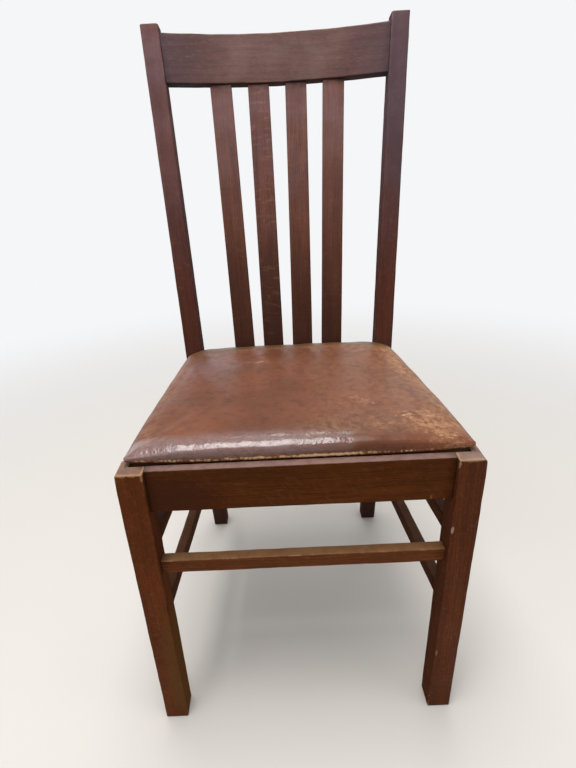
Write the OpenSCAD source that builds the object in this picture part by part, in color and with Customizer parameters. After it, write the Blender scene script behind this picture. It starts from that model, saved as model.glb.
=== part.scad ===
// Side chair with four upright back slats, a bowed crest rail and a leather slip seat.
// +Z is up, the chair faces -Y, and the origin is on the floor under the middle of the chair's box.
// Inside the modules y is measured back from the front legs' faces, and the last step moves it to the origin.

/* [Overall] */
// Height of the seat rails above the floor
seat_h = 445; // [420:1:475]
// Width over the front legs
front_w = 432; // [400:1:470]
// Width over the rear posts, from the floor to the seat
rear_w = 372; // [345:1:395]
// Width over the rear posts at their tops
top_w = 432; // [380:1:470]
// From the fronts of the legs to the fronts of the rear posts, at the seat
seat_depth = 363; // [330:1:410]
// Height of the rear posts above the seat rails
back_h = 526; // [480:1:570]
// Rake of the back
rake = 13.5; // [8:0.5:17]
// How far the rear feet stand behind the posts' fronts at the seat
kick = 75; // [20:1:95]

/* [Legs and posts] */
// Side of the square front legs
leg_s = 33; // [32:0.5:40]
// Width of the rear posts
post_w = 29.5; // [28:0.5:38]
// Depth of the rear posts at the seat
post_d = 32; // [30:0.5:40]
// Depth of the rear posts at their tops
post_top_d = 24; // [23:0.5:30]
// Depth of the rear posts at the floor
post_foot_d = 29; // [24:0.5:36]
// Chamfer round the feet
foot_chamfer = 2; // [1:0.5:4]
// Chamfer on the post tops' front and back edges
top_chamfer = 1.5; // [0.5:0.5:3]
// Straight stretch of the rear posts below the seat rails
knee_drop = 8; // [2:1:20]

/* [Seat rails] */
// Height of the seat rails
rail_h = 59; // [54:1:70]
// Thickness of the seat rails
rail_t = 22; // [20:0.5:26]
// Setback of the front and side rails from the faces of the legs and posts
rail_setback = 7; // [4:0.5:9]
// Setback of the rear rail from the posts' fronts
rear_rail_setback = 5; // [2:0.5:7]
// Width of the front rail's top in front of the slip seat
front_lip = 12; // [8:0.5:14]
// Width of the side rails' tops beside the slip seat
side_lip = 7; // [5:0.5:10]
// Depth of the rebate that holds the slip seat
rebate_d = 8; // [6:0.5:11]

/* [Stretchers] */
// Height of the stretchers
stretcher_h = 20; // [18:0.5:26]
// Thickness of the stretchers
stretcher_t = 15; // [13:0.5:20]
// Setback of the side and rear stretchers from the inner and front faces of the legs and posts
stretcher_inset = 1.5; // [0.5:0.5:6]
// Setback of the front stretcher from the legs' faces
front_stretcher_setback = 8; // [5:0.5:12]
// Gap between the front rail and the front stretcher
front_stretcher_gap = 80; // [74:1:100]
// Gap between the rear rail and the rear stretcher
rear_stretcher_gap = 106; // [90:1:120]
// Gap between the side rails and the upper side stretchers
high_stretcher_gap = 47; // [34:1:53]
// Gap between the upper and the lower side stretchers
low_stretcher_gap = 96; // [80:1:160]

/* [Back] */
// From the tops of the posts down to the crest rail, along the posts
crest_drop = 12; // [8:0.5:50]
// Height of the crest rail, along the posts
crest_h = 74; // [60:1:80]
// Thickness of the crest rail
crest_t = 19; // [17:0.5:21]
// Setback of the crest rail from the posts' fronts
crest_setback = 4; // [2:0.5:6]
// How far the middle of the crest rail bows back
crest_bow = 18.5; // [12:0.5:40]
// Width of the slats
slat_w = 35.5; // [26:0.5:42]
// Thickness of the slats
slat_t = 11; // [9:0.5:12]
// Setback of the slats' feet from the posts' fronts
slat_setback = 11.5; // [9:0.5:13]
// Spacing of the slats at the seat
slat_pitch = 52.5; // [46:0.5:58]
// Spacing of the slats at the crest rail
slat_pitch_top = 63; // [48:0.5:68]

/* [Joints] */
// Thickness of the rails' tenons
rail_tenon_t = 9; // [7:0.5:10]
// Shoulder above and below the rails' tenons
rail_shoulder = 5; // [3:0.5:8]
// Thickness of the stretchers' tenons
stretcher_tenon_t = 8; // [6:0.5:10]
// Height of the stretchers' tenons
stretcher_tenon_h = 14; // [10:0.5:16]
// Length of the stretchers' tenons
stretcher_tenon_len = 12; // [9:0.5:12]
// Width of the slats' tenons
slat_tenon_w = 26; // [18:1:26]
// Thickness of the slats' tenons
slat_tenon_t = 7; // [5:0.5:8]
// Length of the slats' tenons
slat_tenon_len = 12; // [8:0.5:16]
// Thickness of the crest rail's tenons
crest_tenon_t = 9; // [7:0.5:10]
// Length of the crest rail's tenons
crest_tenon_len = 14; // [10:0.5:16]
// Shoulder above and below the crest rail's tenons
crest_shoulder = 10; // [6:1:16]
// Glue clearance round a tenon
joint_fit = 0.15; // [0.05:0.05:0.3]
// Gap at a tenon's end
joint_end = 1; // [0.5:0.5:2]

/* [Corner blocks] */
// Length of a corner block along each rail
block_len = 60; // [52:1:70]
// Height of a corner block
block_h = 30; // [22:1:36]
// Width of a corner block's blunt tips
block_tip = 10; // [6:1:14]
// Diameter of the screws
screw_d = 4; // [3.5:0.5:5]
// Diameter of the screws' heads
screw_head_d = 8; // [7:0.5:9]
// How far the screws bite into the rails
screw_bite = 14; // [10:1:16]
// How far the screws' heads are sunk below the block's face
screw_sink = 7; // [6:0.5:9]

/* [Slip seat] */
// Gap round the slip seat in its rebate
seat_gap = 1; // [0.5:0.25:2]
// Gap between the slip seat and the rebate's floor
seat_rest_gap = 0.3; // [0.2:0.1:0.5]
// Thickness of the leather
leather_t = 1.4; // [1:0.1:1.8]
// Width of leather turned under the seat frame
turn_under = 25; // [18:1:30]
// Height of the cover's middle above the seat rails
pad_rise = 30; // [26:1:45]
// How far the cover bulges over the side rails
side_bulge = 6; // [3:0.5:7]
// How far the cover bulges over the front rail
front_bulge = 1.5; // [0:0.5:4]
// Radius of the cover's front corners
front_corner_r = 6; // [4:1:25]
// How far the cover is drawn down at its front corners
corner_pull = 6; // [0:0.5:8]
// How far from each corner the cover is drawn down
corner_reach = 50; // [35:1:70]
// Pull at the rear corners, as a share of the front ones'
rear_pull_share = 0.5; // [0:0.05:0.8]
// Radius of the cover's rear corners
rear_corner_r = 28; // [10:1:40]
// Width of the seat frame's members
member_w = 45; // [35:1:55]
// Thickness of the seat frame's members
member_t = 16; // [14:0.5:17]
// Width of the webbing
web_w = 50; // [40:1:55]
// Thickness of the webbing
web_t = 1.5; // [1:0.1:2]
// Spacing of the straps that run front to back
web_pitch_x = 90; // [70:1:95]
// Spacing of the straps that run side to side
web_pitch_y = 78; // [62:1:82]
// Thickness of the hessian
hessian_t = 0.8; // [0.5:0.1:1.2]
// Setback of the webbing's and the hessian's edges from the seat frame's edges
web_setback = 10; // [6:1:16]
// Thickness of the dust cover
dust_t = 0.8; // [0.5:0.1:1.2]
// Diameter of the tacks' heads
tack_head_d = 9; // [7:0.5:10]
// Diameter of the tacks' shanks
tack_d = 1.6; // [1.2:0.1:2]
// Length of the tacks' shanks
tack_len = 11; // [8:0.5:12]

/* [Hidden] */
$fn = 96;

// How far cuts run past what they cut
overrun = 5;
// Clearance between soft layers and what they lie against
soft_gap = 0.3;
// Clearance of the seat frame inside the cover
frame_gap = 0.1;
wood = [0.27, 0.14, 0.09];
pale_wood = [0.72, 0.58, 0.40];
leather = [0.50, 0.30, 0.22];
jute = [0.66, 0.55, 0.38];
cloth = [0.12, 0.12, 0.13];
steel = [0.45, 0.45, 0.46];

// Levels and planes of the frame
rail_z = seat_h - rail_h;
rebate_z = seat_h - rebate_d;
tenon_z = [rail_z + rail_shoulder, rebate_z - rail_shoulder];
knee_z = rail_z - knee_drop;
leg_in = front_w / 2 - leg_s;
post_in = rear_w / 2 - post_w;
rail_back = rail_setback + rail_t;
rear_rail_y = seat_depth + rear_rail_setback;
side_slope = (front_w - rear_w) / 2 / (seat_depth - leg_s);
side_norm = sqrt(1 + side_slope * side_slope);
well_front = rail_setback + front_lip;
back_len = back_h / cos(rake);
kick_angle = atan2(kick, knee_z);

// Undersides of the stretchers
front_stretcher_z = rail_z - front_stretcher_gap - stretcher_h;
rear_stretcher_z = rail_z - rear_stretcher_gap - stretcher_h;
high_stretcher_z = rail_z - high_stretcher_gap - stretcher_h;
low_stretcher_z = high_stretcher_z - low_stretcher_gap - stretcher_h;

// The crest rail's arc, in the plane that leans back with the posts
crest_low = back_len - crest_drop - crest_h;
crest_half = post_in + (top_w - rear_w) / 2 * (crest_low + crest_h / 2) / back_len;
crest_r = (crest_half * crest_half + crest_bow * crest_bow) / (2 * crest_bow);
crest_cy = crest_setback + crest_bow - crest_r;
slat_place_shares = [-1.5, -0.5, 0.5, 1.5];

// Where the box of the whole chair ends at the back, and half of that, which puts the origin in its middle
reach_foot = seat_depth + kick + post_foot_d;
reach_post = seat_depth + (back_len - top_chamfer) * sin(rake) + post_top_d * cos(rake);
reach_crest = seat_depth + (crest_low + crest_h) * sin(rake)
    + (crest_setback + crest_bow + crest_t) * cos(rake);
rear_reach = max(reach_foot, reach_post, reach_crest);
front_reach = rear_reach / 2;

// The slip seat's layers, from the rebate's floor up
cover_z = rebate_z + seat_rest_gap;
frame_z = cover_z + leather_t + frame_gap;
frame_top = frame_z + member_t;
web_top = frame_top + 2 * web_t;
hessian_top = web_top + hessian_t;
frame_inset = seat_gap + leather_t + frame_gap;
under_inset = seat_gap + turn_under;
seat_mid_y = (well_front + seat_depth) / 2;
seat_half_x = side_x(seat_mid_y) - side_lip;
seat_half_y = (seat_depth - well_front) / 2;
tack_inset = under_inset + tack_d;
dust_inset = tack_inset + tack_d;

// Rings of the cover, from its wall to near its middle: size, bulge, height above the rails,
// and how far the leather's thickness is turned outwards and upwards there
cover_shares = [[1, 0, 0.02, 1, 0], [1, 0.55, 0.12, 0.95, -0.3], [1, 0.95, 0.24, 1, 0],
                [1, 1, 0.36, 1, 0.1], [1, 0.75, 0.5, 0.8, 0.6], [0.992, 0.3, 0.63, 0.55, 0.85],
                [0.965, 0, 0.73, 0.3, 0.95], [0.92, 0, 0.79, 0.1, 1], [0.8, 0, 0.87, 0, 1],
                [0.6, 0, 0.94, 0, 1], [0.35, 0, 0.985, 0, 1]];
// Rows of cover_shares between which the dip at the front corners sets in, the least stuffing left over
// the seat frame there, and the dip itself
dip_start = 2;
dip_full = 5;
corner_stuffing = 1;
corner_dip = min(corner_pull, seat_h + pad_rise * cover_shares[dip_full][2] - leather_t - 2 * soft_gap
    - frame_top - corner_stuffing);
// Points on an arc of a corner, along a side and along the front and back of each ring
corner_steps = 3;
side_steps = 7;
cross_steps = 8;

function mix(a, b, t) = a + (b - a) * t;

// Outer face of the side rail at a distance back, its inner face, and the wall of the rebate
function side_x(y) = front_w / 2 - rail_setback - side_slope * (y - leg_s);
function side_in(y) = side_x(y) - rail_t;
function well_x(y) = side_x(y) - side_lip;

// Front face of the rear post at a height below the seat
function post_face(z) = seat_depth + kick * max(0, 1 - z / knee_z);

// Half the clear width between the posts at a height above the seat
function between_x(z) = post_in + (top_w - rear_w) / 2 * (z - seat_h) / back_h;

module side(s) mirror([s < 0 ? 1 : 0, 0, 0]) children();
module in_place() translate([0, -front_reach, 0]) children();
module box(lo, hi) translate(lo) cube(hi - lo);
module along_x(x0, x1) translate([x0, 0, 0]) rotate([90, 0, 90]) linear_extrude(x1 - x0) children();
module along_y(y0, y1) translate([0, y1, 0]) rotate([90, 0, 0]) linear_extrude(y1 - y0) children();
module along_z(z0, z1) translate([0, 0, z0]) linear_extrude(z1 - z0) children();
module in_back() translate([0, seat_depth, seat_h]) rotate([-rake, 0, 0]) children();

// The opening that the slip seat drops into, above the rebate's floor
module seat_well() {
    y0 = well_front;
    y1 = seat_depth + overrun;
    along_z(rebate_z, seat_h + overrun)
        polygon([[-well_x(y0), y0], [well_x(y0), y0], [well_x(y1), y1], [-well_x(y1), y1]]);
}

// Tenons of two rails that meet in one leg or post, mitred where they meet.
// The one along x enters at xe and the one along y enters at ye; ya is nearer to ye than yb.
function x_tenon(xe, x0, x1, ya, yb) = [[xe, ya], [x0 - joint_end, ya], [x1 - joint_end, yb], [xe, yb]];
function y_tenon(ye, x0, x1, ya, yb) = [[x0, ye], [x0, ya], [x1, yb], [x1, ye]];

front_tenon_y = rail_setback + rail_t / 2;
rear_tenon_y = rear_rail_y + rail_t / 2;
leg_tenon_x = side_x(leg_s) - rail_t / 2;
post_tenon_x = side_x(seat_depth) - rail_t / 2;
half_tenon = rail_tenon_t / 2;

// Half width of the mitred tenons' outlines: the tenon itself, or its mortise when grown
module front_rail_tenon(grow, back) {
    h = half_tenon + grow;
    along_z(tenon_z[0] - grow, tenon_z[1] + grow)
        polygon(x_tenon(leg_in - back, leg_tenon_x - half_tenon + grow, leg_tenon_x + half_tenon + grow,
                        front_tenon_y + h, front_tenon_y - h));
}

module rear_rail_tenon(grow, back) {
    h = half_tenon + grow;
    along_z(tenon_z[0] - grow, tenon_z[1] + grow)
        polygon(x_tenon(post_in - back, post_tenon_x - half_tenon + grow, post_tenon_x + half_tenon + grow,
                        rear_tenon_y - h, rear_tenon_y + h));
}

module side_rail_front_tenon(grow, back) {
    h = half_tenon + grow;
    along_z(tenon_z[0] - grow, tenon_z[1] + grow)
        polygon(y_tenon(leg_s + back, leg_tenon_x - h, leg_tenon_x + h,
                        front_tenon_y + half_tenon - grow, front_tenon_y - half_tenon - grow));
}

module side_rail_rear_tenon(grow, back) {
    h = half_tenon + grow;
    along_z(tenon_z[0] - grow, tenon_z[1] + grow)
        polygon(y_tenon(seat_depth - back, post_tenon_x - h, post_tenon_x + h,
                        rear_tenon_y - half_tenon + grow, rear_tenon_y + half_tenon + grow));
}

// Side stretcher on the right: plan of a bar along its line, w wide, run past both ends by a and b
module side_bar(z, w, h, a, b) {
    y1 = post_face(z + stretcher_h / 2);
    x0 = leg_in + stretcher_inset + stretcher_t / 2;
    x1 = post_in + stretcher_inset + stretcher_t / 2;
    k = (x1 - x0) / (y1 - leg_s);
    mid = z + stretcher_h / 2;
    along_z(mid - h / 2, mid + h / 2)
        polygon([[x0 - k * a - w / 2, leg_s - a], [x0 - k * a + w / 2, leg_s - a],
                 [x1 + k * b + w / 2, y1 + b], [x1 + k * b - w / 2, y1 + b]]);
}

module side_bar_core(z, grow, end) {
    side_bar(z, stretcher_tenon_t + 2 * grow, stretcher_tenon_h + 2 * grow,
             stretcher_tenon_len + end, stretcher_tenon_len + end);
}

// Everything behind the fronts of the rear posts
module behind_posts() {
    far = seat_depth + kick + post_d + stretcher_tenon_len;
    along_x(-front_w, front_w)
        polygon([[post_face(0), 0], [seat_depth, knee_z], [seat_depth, seat_h], [far, seat_h], [far, 0]]);
}

module side_stretcher(z) {
    difference() {
        side_bar(z, stretcher_t, stretcher_h, 0, stretcher_tenon_len);
        behind_posts();
    }
    side_bar_core(z, 0, 0);
}

// A straight cross bar with a tenon at each end: half its clear length, its front, and its underside
module cross_bar(half, y, z) {
    box([-half, y, z], [half, y + stretcher_t, z + stretcher_h]);
    cross_bar_core(half, y, z, 0, 0);
}

module cross_bar_core(half, y, z, grow, end) {
    reach = half + stretcher_tenon_len + end;
    yc = y + stretcher_t / 2;
    zc = z + stretcher_h / 2;
    yh = stretcher_tenon_t / 2 + grow;
    zh = stretcher_tenon_h / 2 + grow;
    box([-reach, yc - yh, zc - zh], [reach, yc + yh, zc + zh]);
}

rear_stretcher_y = post_face(rear_stretcher_z) + stretcher_inset;

module front_leg() {
    c = foot_chamfer;
    x0 = leg_in;
    x1 = front_w / 2;
    difference() {
        intersection() {
            along_y(0, leg_s)
                polygon([[x0 + c, 0], [x1 - c, 0], [x1, c], [x1, seat_h], [x0, seat_h], [x0, c]]);
            along_x(x0, x1)
                polygon([[c, 0], [leg_s - c, 0], [leg_s, c], [leg_s, seat_h], [0, seat_h], [0, c]]);
        }
        seat_well();
        front_rail_tenon(joint_fit, overrun);
        side_rail_front_tenon(joint_fit, overrun);
        cross_bar_core(leg_in, front_stretcher_setback, front_stretcher_z, joint_fit, joint_end);
        side_bar_core(low_stretcher_z, joint_fit, joint_end);
        side_bar_core(high_stretcher_z, joint_fit, joint_end);
    }
}

// The rear post's outline from the side, as y and z, with its top cut square to the raked part
module post_side() {
    c = foot_chamfer;
    up = [sin(rake), cos(rake)];
    out = [cos(rake), -sin(rake)];
    top = [seat_depth, seat_h] + back_len * up;
    back = seat_depth + post_d;
    polygon([[post_face(0) + c, 0], [post_face(c), c], [seat_depth, knee_z], [seat_depth, seat_h],
             top - top_chamfer * up, top + top_chamfer * out,
             top + (post_top_d - top_chamfer) * out, top + post_top_d * out - top_chamfer * up,
             [back, seat_h - post_d * tan(rake / 2)], [back, knee_z + post_d * tan(kick_angle / 2)],
             [post_face(c) + post_foot_d, c], [post_face(0) + post_foot_d - c, 0]]);
}

// The rear post's outline from the front, as x and z
module post_front() {
    c = foot_chamfer;
    high = seat_h + back_h + overrun;
    x0 = post_in;
    x1 = rear_w / 2;
    polygon([[x0 + c, 0], [x1 - c, 0], [x1, c], [x1, seat_h], [between_x(high) + post_w, high],
             [between_x(high), high], [x0, seat_h], [x0, c]]);
}

module rear_post() {
    difference() {
        intersection() {
            along_y(seat_depth - overrun, rear_reach + overrun) post_front();
            along_x(0, top_w) post_side();
        }
        rear_rail_tenon(joint_fit, overrun);
        side_rail_rear_tenon(joint_fit, overrun);
        cross_bar_core(post_in, rear_stretcher_y, rear_stretcher_z, joint_fit, joint_end);
        side_bar_core(low_stretcher_z, joint_fit, joint_end);
        side_bar_core(high_stretcher_z, joint_fit, joint_end);
        crest_core(joint_fit, joint_end);
    }
}

// The space between the posts above the seat, widened by grow
module between_posts(grow) {
    z0 = seat_h;
    z1 = seat_h + back_h + overrun;
    along_y(seat_depth, rear_reach + overrun)
        polygon([[-between_x(z0) - grow, z0], [between_x(z0) + grow, z0],
                 [between_x(z1) + grow, z1], [-between_x(z1) - grow, z1]]);
}

// A length of the crest rail's arc: from a to b behind its front face, and from low to high
module crest_ring(a, b, low, high) {
    in_back() translate([0, crest_cy, low]) difference() {
        cylinder(r = crest_r + b, h = high - low);
        translate([0, 0, -overrun]) cylinder(r = crest_r + a, h = high - low + 2 * overrun);
    }
}

module crest_core(grow, end) {
    mid = crest_t / 2;
    half = crest_tenon_t / 2 + grow;
    intersection() {
        crest_ring(mid - half, mid + half, crest_low + crest_shoulder - grow,
                   crest_low + crest_h - crest_shoulder + grow);
        between_posts(crest_tenon_len + end);
    }
}

module crest_rail() {
    difference() {
        union() {
            intersection() {
                crest_ring(0, crest_t, crest_low, crest_low + crest_h);
                between_posts(0);
            }
            crest_core(0, 0);
        }
        for (i = [0 : 3]) slat_core(i, joint_fit, joint_end);
    }
}

// Ends of a slat's axis in the raked plane: its foot in the rear rail and its head in the crest rail
function slat_foot(i) = [slat_place_shares[i] * slat_pitch, slat_setback + slat_t / 2, 0];
function slat_head(i) =
    let (x = slat_place_shares[i] * slat_pitch_top, r = crest_r + crest_t / 2)
    [x, crest_cy + sqrt(r * r - x * x), crest_low];
function slat_len(i) = norm(slat_head(i) - slat_foot(i));

module on_slat(i) {
    d = slat_head(i) - slat_foot(i);
    in_back() translate(slat_foot(i))
        rotate([-atan2(d[1], d[2]), 0, 0]) rotate([0, atan2(d[0], norm([d[1], d[2]])), 0]) children();
}

module slat_strip(i, w, t, below, above) {
    on_slat(i) box([-w / 2, -t / 2, -below], [w / 2, t / 2, slat_len(i) + above]);
}

module slat_core(i, grow, end) {
    slat_strip(i, slat_tenon_w + 2 * grow, slat_tenon_t + 2 * grow, slat_tenon_len + end,
               slat_tenon_len + end);
}

module back_slat(i) {
    difference() {
        slat_strip(i, slat_w, slat_t, slat_t, slat_t);
        box([-front_w, 0, rail_z], [front_w, rear_reach, seat_h]);
        in_back() box([-front_w, 0, crest_low], [front_w, rear_reach, crest_low + crest_h]);
    }
    slat_core(i, 0, 0);
}

module front_seat_rail() {
    difference() {
        union() {
            box([-leg_in, rail_setback, rail_z], [leg_in, rail_back, seat_h]);
            for (s = [-1, 1]) side(s) front_rail_tenon(0, overrun);
        }
        seat_well();
        for (s = [-1, 1]) side(s) block_screws(rail_back, 1, joint_fit);
    }
}

module rear_seat_rail() {
    difference() {
        union() {
            box([-post_in, rear_rail_y, rail_z], [post_in, rear_rail_y + rail_t, seat_h]);
            for (s = [-1, 1]) side(s) rear_rail_tenon(0, overrun);
        }
        for (i = [0 : 3]) slat_core(i, joint_fit, joint_end);
        for (s = [-1, 1]) side(s) block_screws(rear_rail_y, -1, joint_fit);
    }
}

module side_seat_rail() {
    difference() {
        union() {
            along_z(rail_z, seat_h)
                polygon([[side_in(leg_s), leg_s], [side_x(leg_s), leg_s],
                         [side_x(seat_depth), seat_depth], [side_in(seat_depth), seat_depth]]);
            side_rail_front_tenon(0, overrun);
            side_rail_rear_tenon(0, overrun);
        }
        seat_well();
        block_screws(rail_back, 1, joint_fit);
        block_screws(rear_rail_y, -1, joint_fit);
    }
}

// Corner blocks: y is the cross rail's inner face, and d is 1 in front and -1 at the rear
block_mid_z = rebate_z - block_h / 2;
screw_place_share = 0.75;
screw_drop_share = 0.15;
function block_face(y, d) = [[side_in(y) - block_len, y + d * block_tip],
                             [side_in(y + d * block_len) - block_tip, y + d * block_len]];

module block_plan(y, d) {
    f = block_face(y, d);
    polygon([[side_in(y) - block_len, y], [side_in(y), y],
             [side_in(y + d * block_len), y + d * block_len], f[1], f[0]]);
}

module corner_block(y, d) {
    difference() {
        along_z(rebate_z - block_h, rebate_z) block_plan(y, d);
        box([leg_in, 0, 0], [front_w / 2, leg_s, seat_h]);
        box([post_in, seat_depth, 0], [rear_w / 2, seat_depth + post_d, seat_h]);
        block_screws(y, d, joint_fit);
    }
}

// The two screws of a block on the right, or their holes when grown: one along y and one along x
module block_screws(y, d, grow) {
    f = block_face(y, d);
    t = (f[1][1] - f[0][1]) / (f[1][0] - f[0][0]);
    xa = side_in(y) - block_len * screw_place_share;
    ya = f[0][1] + (xa - f[0][0]) * t - d * screw_sink;
    yb = y + d * block_len * screw_place_share;
    xb = f[0][0] + (yb - f[0][1]) / t + screw_sink;
    drop = block_h * screw_drop_share;
    translate([xa, ya, block_mid_z + drop]) rotate([d * 90, 0, 0])
        screw(abs(ya - y) + screw_bite, grow);
    translate([xb, yb, block_mid_z - drop]) rotate([0, 90, 0])
        screw(side_in(yb) - xb + screw_bite, grow);
}

// A countersunk screw with its head's face at the origin, pointing along +Z; grown, it is its own hole
module screw(len, grow) {
    r = screw_d / 2 + grow;
    head = screw_head_d / 2 + grow;
    cone = screw_head_d / 2 - screw_d / 2;
    bore = grow > 0 ? block_len : 0;
    difference() {
        rotate_extrude()
            polygon([[0, -bore], [head, -bore], [head, 0], [r, cone], [r, len - screw_d],
                     [0, len + (grow > 0 ? joint_end : 0)]]);
        if (grow == 0) box([-head, -slot_w / 2, -overrun], [head, slot_w / 2, slot_d]);
    }
}
slot_w = screw_d / 4;
slot_d = screw_d / 4;

module corner_block_screws() {
    for (s = [-1, 1]) side(s) {
        block_screws(rail_back, 1, 0);
        block_screws(rear_rail_y, -1, 0);
    }
}

// Outline of the slip seat inside the rebate's wall by inset, with round corners, as points from the
// right front corner round to the left
function corner(y0, d, r, inset) =
    let (q = max(r - inset, frame_inset) + inset)
    [well_x(y0 + d * q) - q * side_norm, y0 + d * q, q - inset];
function arc(c, sx, a0, a1) =
    [for (i = [0 : corner_steps])
        let (a = mix(a0, a1, i / corner_steps)) [sx * c[0] + c[2] * cos(a), c[1] + c[2] * sin(a)]];
function edge(p, q, n) = [for (i = [1 : n - 1]) mix(p, q, i / n)];
function seat_outline(inset) =
    let (f = corner(well_front, 1, front_corner_r, inset),
         b = corner(seat_depth, -1, rear_corner_r, inset),
         tilt = atan(side_slope),
         fr = arc(f, 1, -90, tilt), br = arc(b, 1, tilt, 90),
         bl = arc(b, -1, 90, 180 - tilt), fl = arc(f, -1, 180 - tilt, 270),
         n = corner_steps)
    concat(fr, edge(fr[n], br[0], side_steps), br, edge(br[n], bl[0], cross_steps),
           bl, edge(bl[n], fl[0], side_steps), fl, edge(fl[n], fr[0], cross_steps));

// A ring of the slip seat: its outline, scaled about the middle by size, pushed out by bulge, at a height
function seat_ring(inset, size, bulge, z) =
    [for (p = seat_outline(inset))
        [p[0] * (size + bulge * side_bulge / seat_half_x),
         seat_mid_y + (p[1] - seat_mid_y) * (size + bulge * front_bulge / seat_half_y), z]];
function cover_ring(k, t) =
    let (c = cover_shares[k])
    [for (p = seat_ring(seat_gap + t * c[3], c[0], c[1], seat_h + pad_rise * c[2] - t * c[4]))
        p - [0, 0, corner_dip * dip_share(k) * corner_near(p)]];

// How much of the dip a row has, and how near a point is to a corner, from 0 to 1
function dip_share(k) =
    let (low = cover_shares[dip_start][2], high = cover_shares[dip_full][2])
    min(1, max(0, (cover_shares[k][2] - low) / (high - low)));
function corner_near(p) =
    near_well(p, well_front) + rear_pull_share * near_well(p, seat_depth);
function near_well(p, y) = exp(-pow(norm([abs(p[0]) - well_x(y), p[1] - y]) / corner_reach, 2));
cover_last = len(cover_shares) - 1;

// A closed solid from rings of equal length: it starts at the point top, ends at the point low; flip turns
// the lines that split its faces, so that they match those of the surface it lies against
module ring_solid(top, rings, low, flip = false) {
    n = len(rings[0]);
    m = len(rings);
    last = n * m + 1;
    polyhedron(
        points = concat([top], [for (r = rings) each r], [low]),
        faces = concat(
            [for (j = [0 : n - 1]) [0, 1 + (j + 1) % n, 1 + j]],
            [for (i = [0 : m - 2], j = [0 : n - 1])
                [1 + i * n + j, 1 + i * n + (j + 1) % n, 1 + (i + 1) * n + (j + (flip ? 0 : 1)) % n]],
            [for (i = [0 : m - 2], j = [0 : n - 1])
                [1 + i * n + (j + (flip ? 1 : 0)) % n, 1 + (i + 1) * n + (j + 1) % n, 1 + (i + 1) * n + j]],
            [for (j = [0 : n - 1]) [1 + (m - 1) * n + j, 1 + (m - 1) * n + (j + 1) % n, last]]),
        convexity = 6);
}

module leather_cover() {
    outside = [for (k = [cover_last : -1 : 0]) cover_ring(k, 0)];
    inside = [for (k = [0 : cover_last]) cover_ring(k, leather_t)];
    under = [seat_ring(seat_gap, 1, 0, cover_z), seat_ring(under_inset, 1, 0, cover_z),
             seat_ring(under_inset, 1, 0, cover_z + leather_t),
             seat_ring(seat_gap + leather_t, 1, 0, cover_z + leather_t)];
    ring_solid([0, seat_mid_y, seat_h + pad_rise], concat(outside, under, inside),
               [0, seat_mid_y, seat_h + pad_rise - leather_t]);
}

module stuffing() {
    t = leather_t + soft_gap;
    lip_z = seat_h + pad_rise * cover_shares[1][2] + leather_t;
    edge_inset = frame_inset - soft_gap;
    web_inset = frame_inset + web_setback - soft_gap;
    rows = [for (k = [cover_last : -1 : 2]) cover_ring(k, t)];
    base = [seat_ring(edge_inset, 1, 0, lip_z), seat_ring(edge_inset, 1, 0, frame_top + soft_gap),
            seat_ring(web_inset, 1, 0, frame_top + soft_gap),
            seat_ring(web_inset, 1, 0, hessian_top + soft_gap)];
    ring_solid([0, seat_mid_y, seat_h + pad_rise - t], concat(rows, base),
               [0, seat_mid_y, hessian_top + soft_gap], flip = true);
}

// Plans of the seat frame: the whole outline, and the strips that its members are cut from
seat_y0 = well_front + frame_inset;
seat_y1 = seat_depth - frame_inset;
function member_x(y) = well_x(y) - frame_inset * side_norm - member_w;

module front_strip() intersection() {
    polygon(seat_outline(frame_inset));
    translate([-front_w / 2, seat_y0]) square([front_w, member_w]);
}

module back_strip() intersection() {
    polygon(seat_outline(frame_inset));
    translate([-front_w / 2, seat_y1 - member_w]) square([front_w, member_w]);
}

module side_strip() intersection() {
    polygon(seat_outline(frame_inset));
    polygon([[member_x(seat_y0), seat_y0], [front_w, seat_y0], [front_w, seat_y1],
             [member_x(seat_y1), seat_y1]]);
}

// The cross members keep their upper halves at the corners, and the side members their lower halves
module seat_frame_cross(rear) {
    difference() {
        along_z(frame_z, frame_top) if (rear) back_strip(); else front_strip();
        for (s = [-1, 1]) side(s) along_z(frame_z - overrun, frame_z + member_t / 2) side_strip();
        tack_row(joint_fit);
    }
}

module seat_frame_side(s) {
    difference() {
        side(s) along_z(frame_z, frame_top) side_strip();
        along_z(frame_z + member_t / 2, frame_top + overrun) {
            front_strip();
            back_strip();
        }
        tack_row(joint_fit);
    }
}

module webbing_lengthwise() {
    for (i = [-1, 0, 1])
        box([i * web_pitch_x - web_w / 2, seat_y0 + web_setback, frame_top],
            [i * web_pitch_x + web_w / 2, seat_y1 - web_setback, frame_top + web_t]);
}

// Each cross strap lies on the side members and steps up over the lengthwise straps
module webbing_crosswise() {
    step = web_pitch_x + web_w / 2 + web_t;
    for (i = [-1, 0, 1]) {
        y0 = seat_mid_y + i * web_pitch_y - web_w / 2;
        y1 = y0 + web_w;
        end = well_x(y1) - frame_inset * side_norm - web_setback;
        half = [[0, frame_top + web_t], [step, frame_top + web_t], [step + 2 * web_t, frame_top],
                [end, frame_top], [end, frame_top + web_t], [step + 3 * web_t, frame_top + web_t],
                [step + web_t, frame_top + 2 * web_t], [0, frame_top + 2 * web_t]];
        along_y(y0, y1) {
            polygon(half);
            mirror([1, 0]) polygon(half);
        }
    }
}

module hessian() along_z(web_top, hessian_top) polygon(seat_outline(frame_inset + web_setback));
module dust_cover() along_z(frame_z - dust_t, frame_z) polygon(seat_outline(dust_inset));

// Tacks between the corner blocks, at the leather's turned-under edge, whose heads also hold the dust
// cover; grown, they are their own holes
tack_head_t = 1;
tack_cross_shares = [-1, -0.6, -0.2, 0.2, 0.6, 1];
tack_side_shares = [0, 0.25, 0.5, 0.75, 1];

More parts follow.
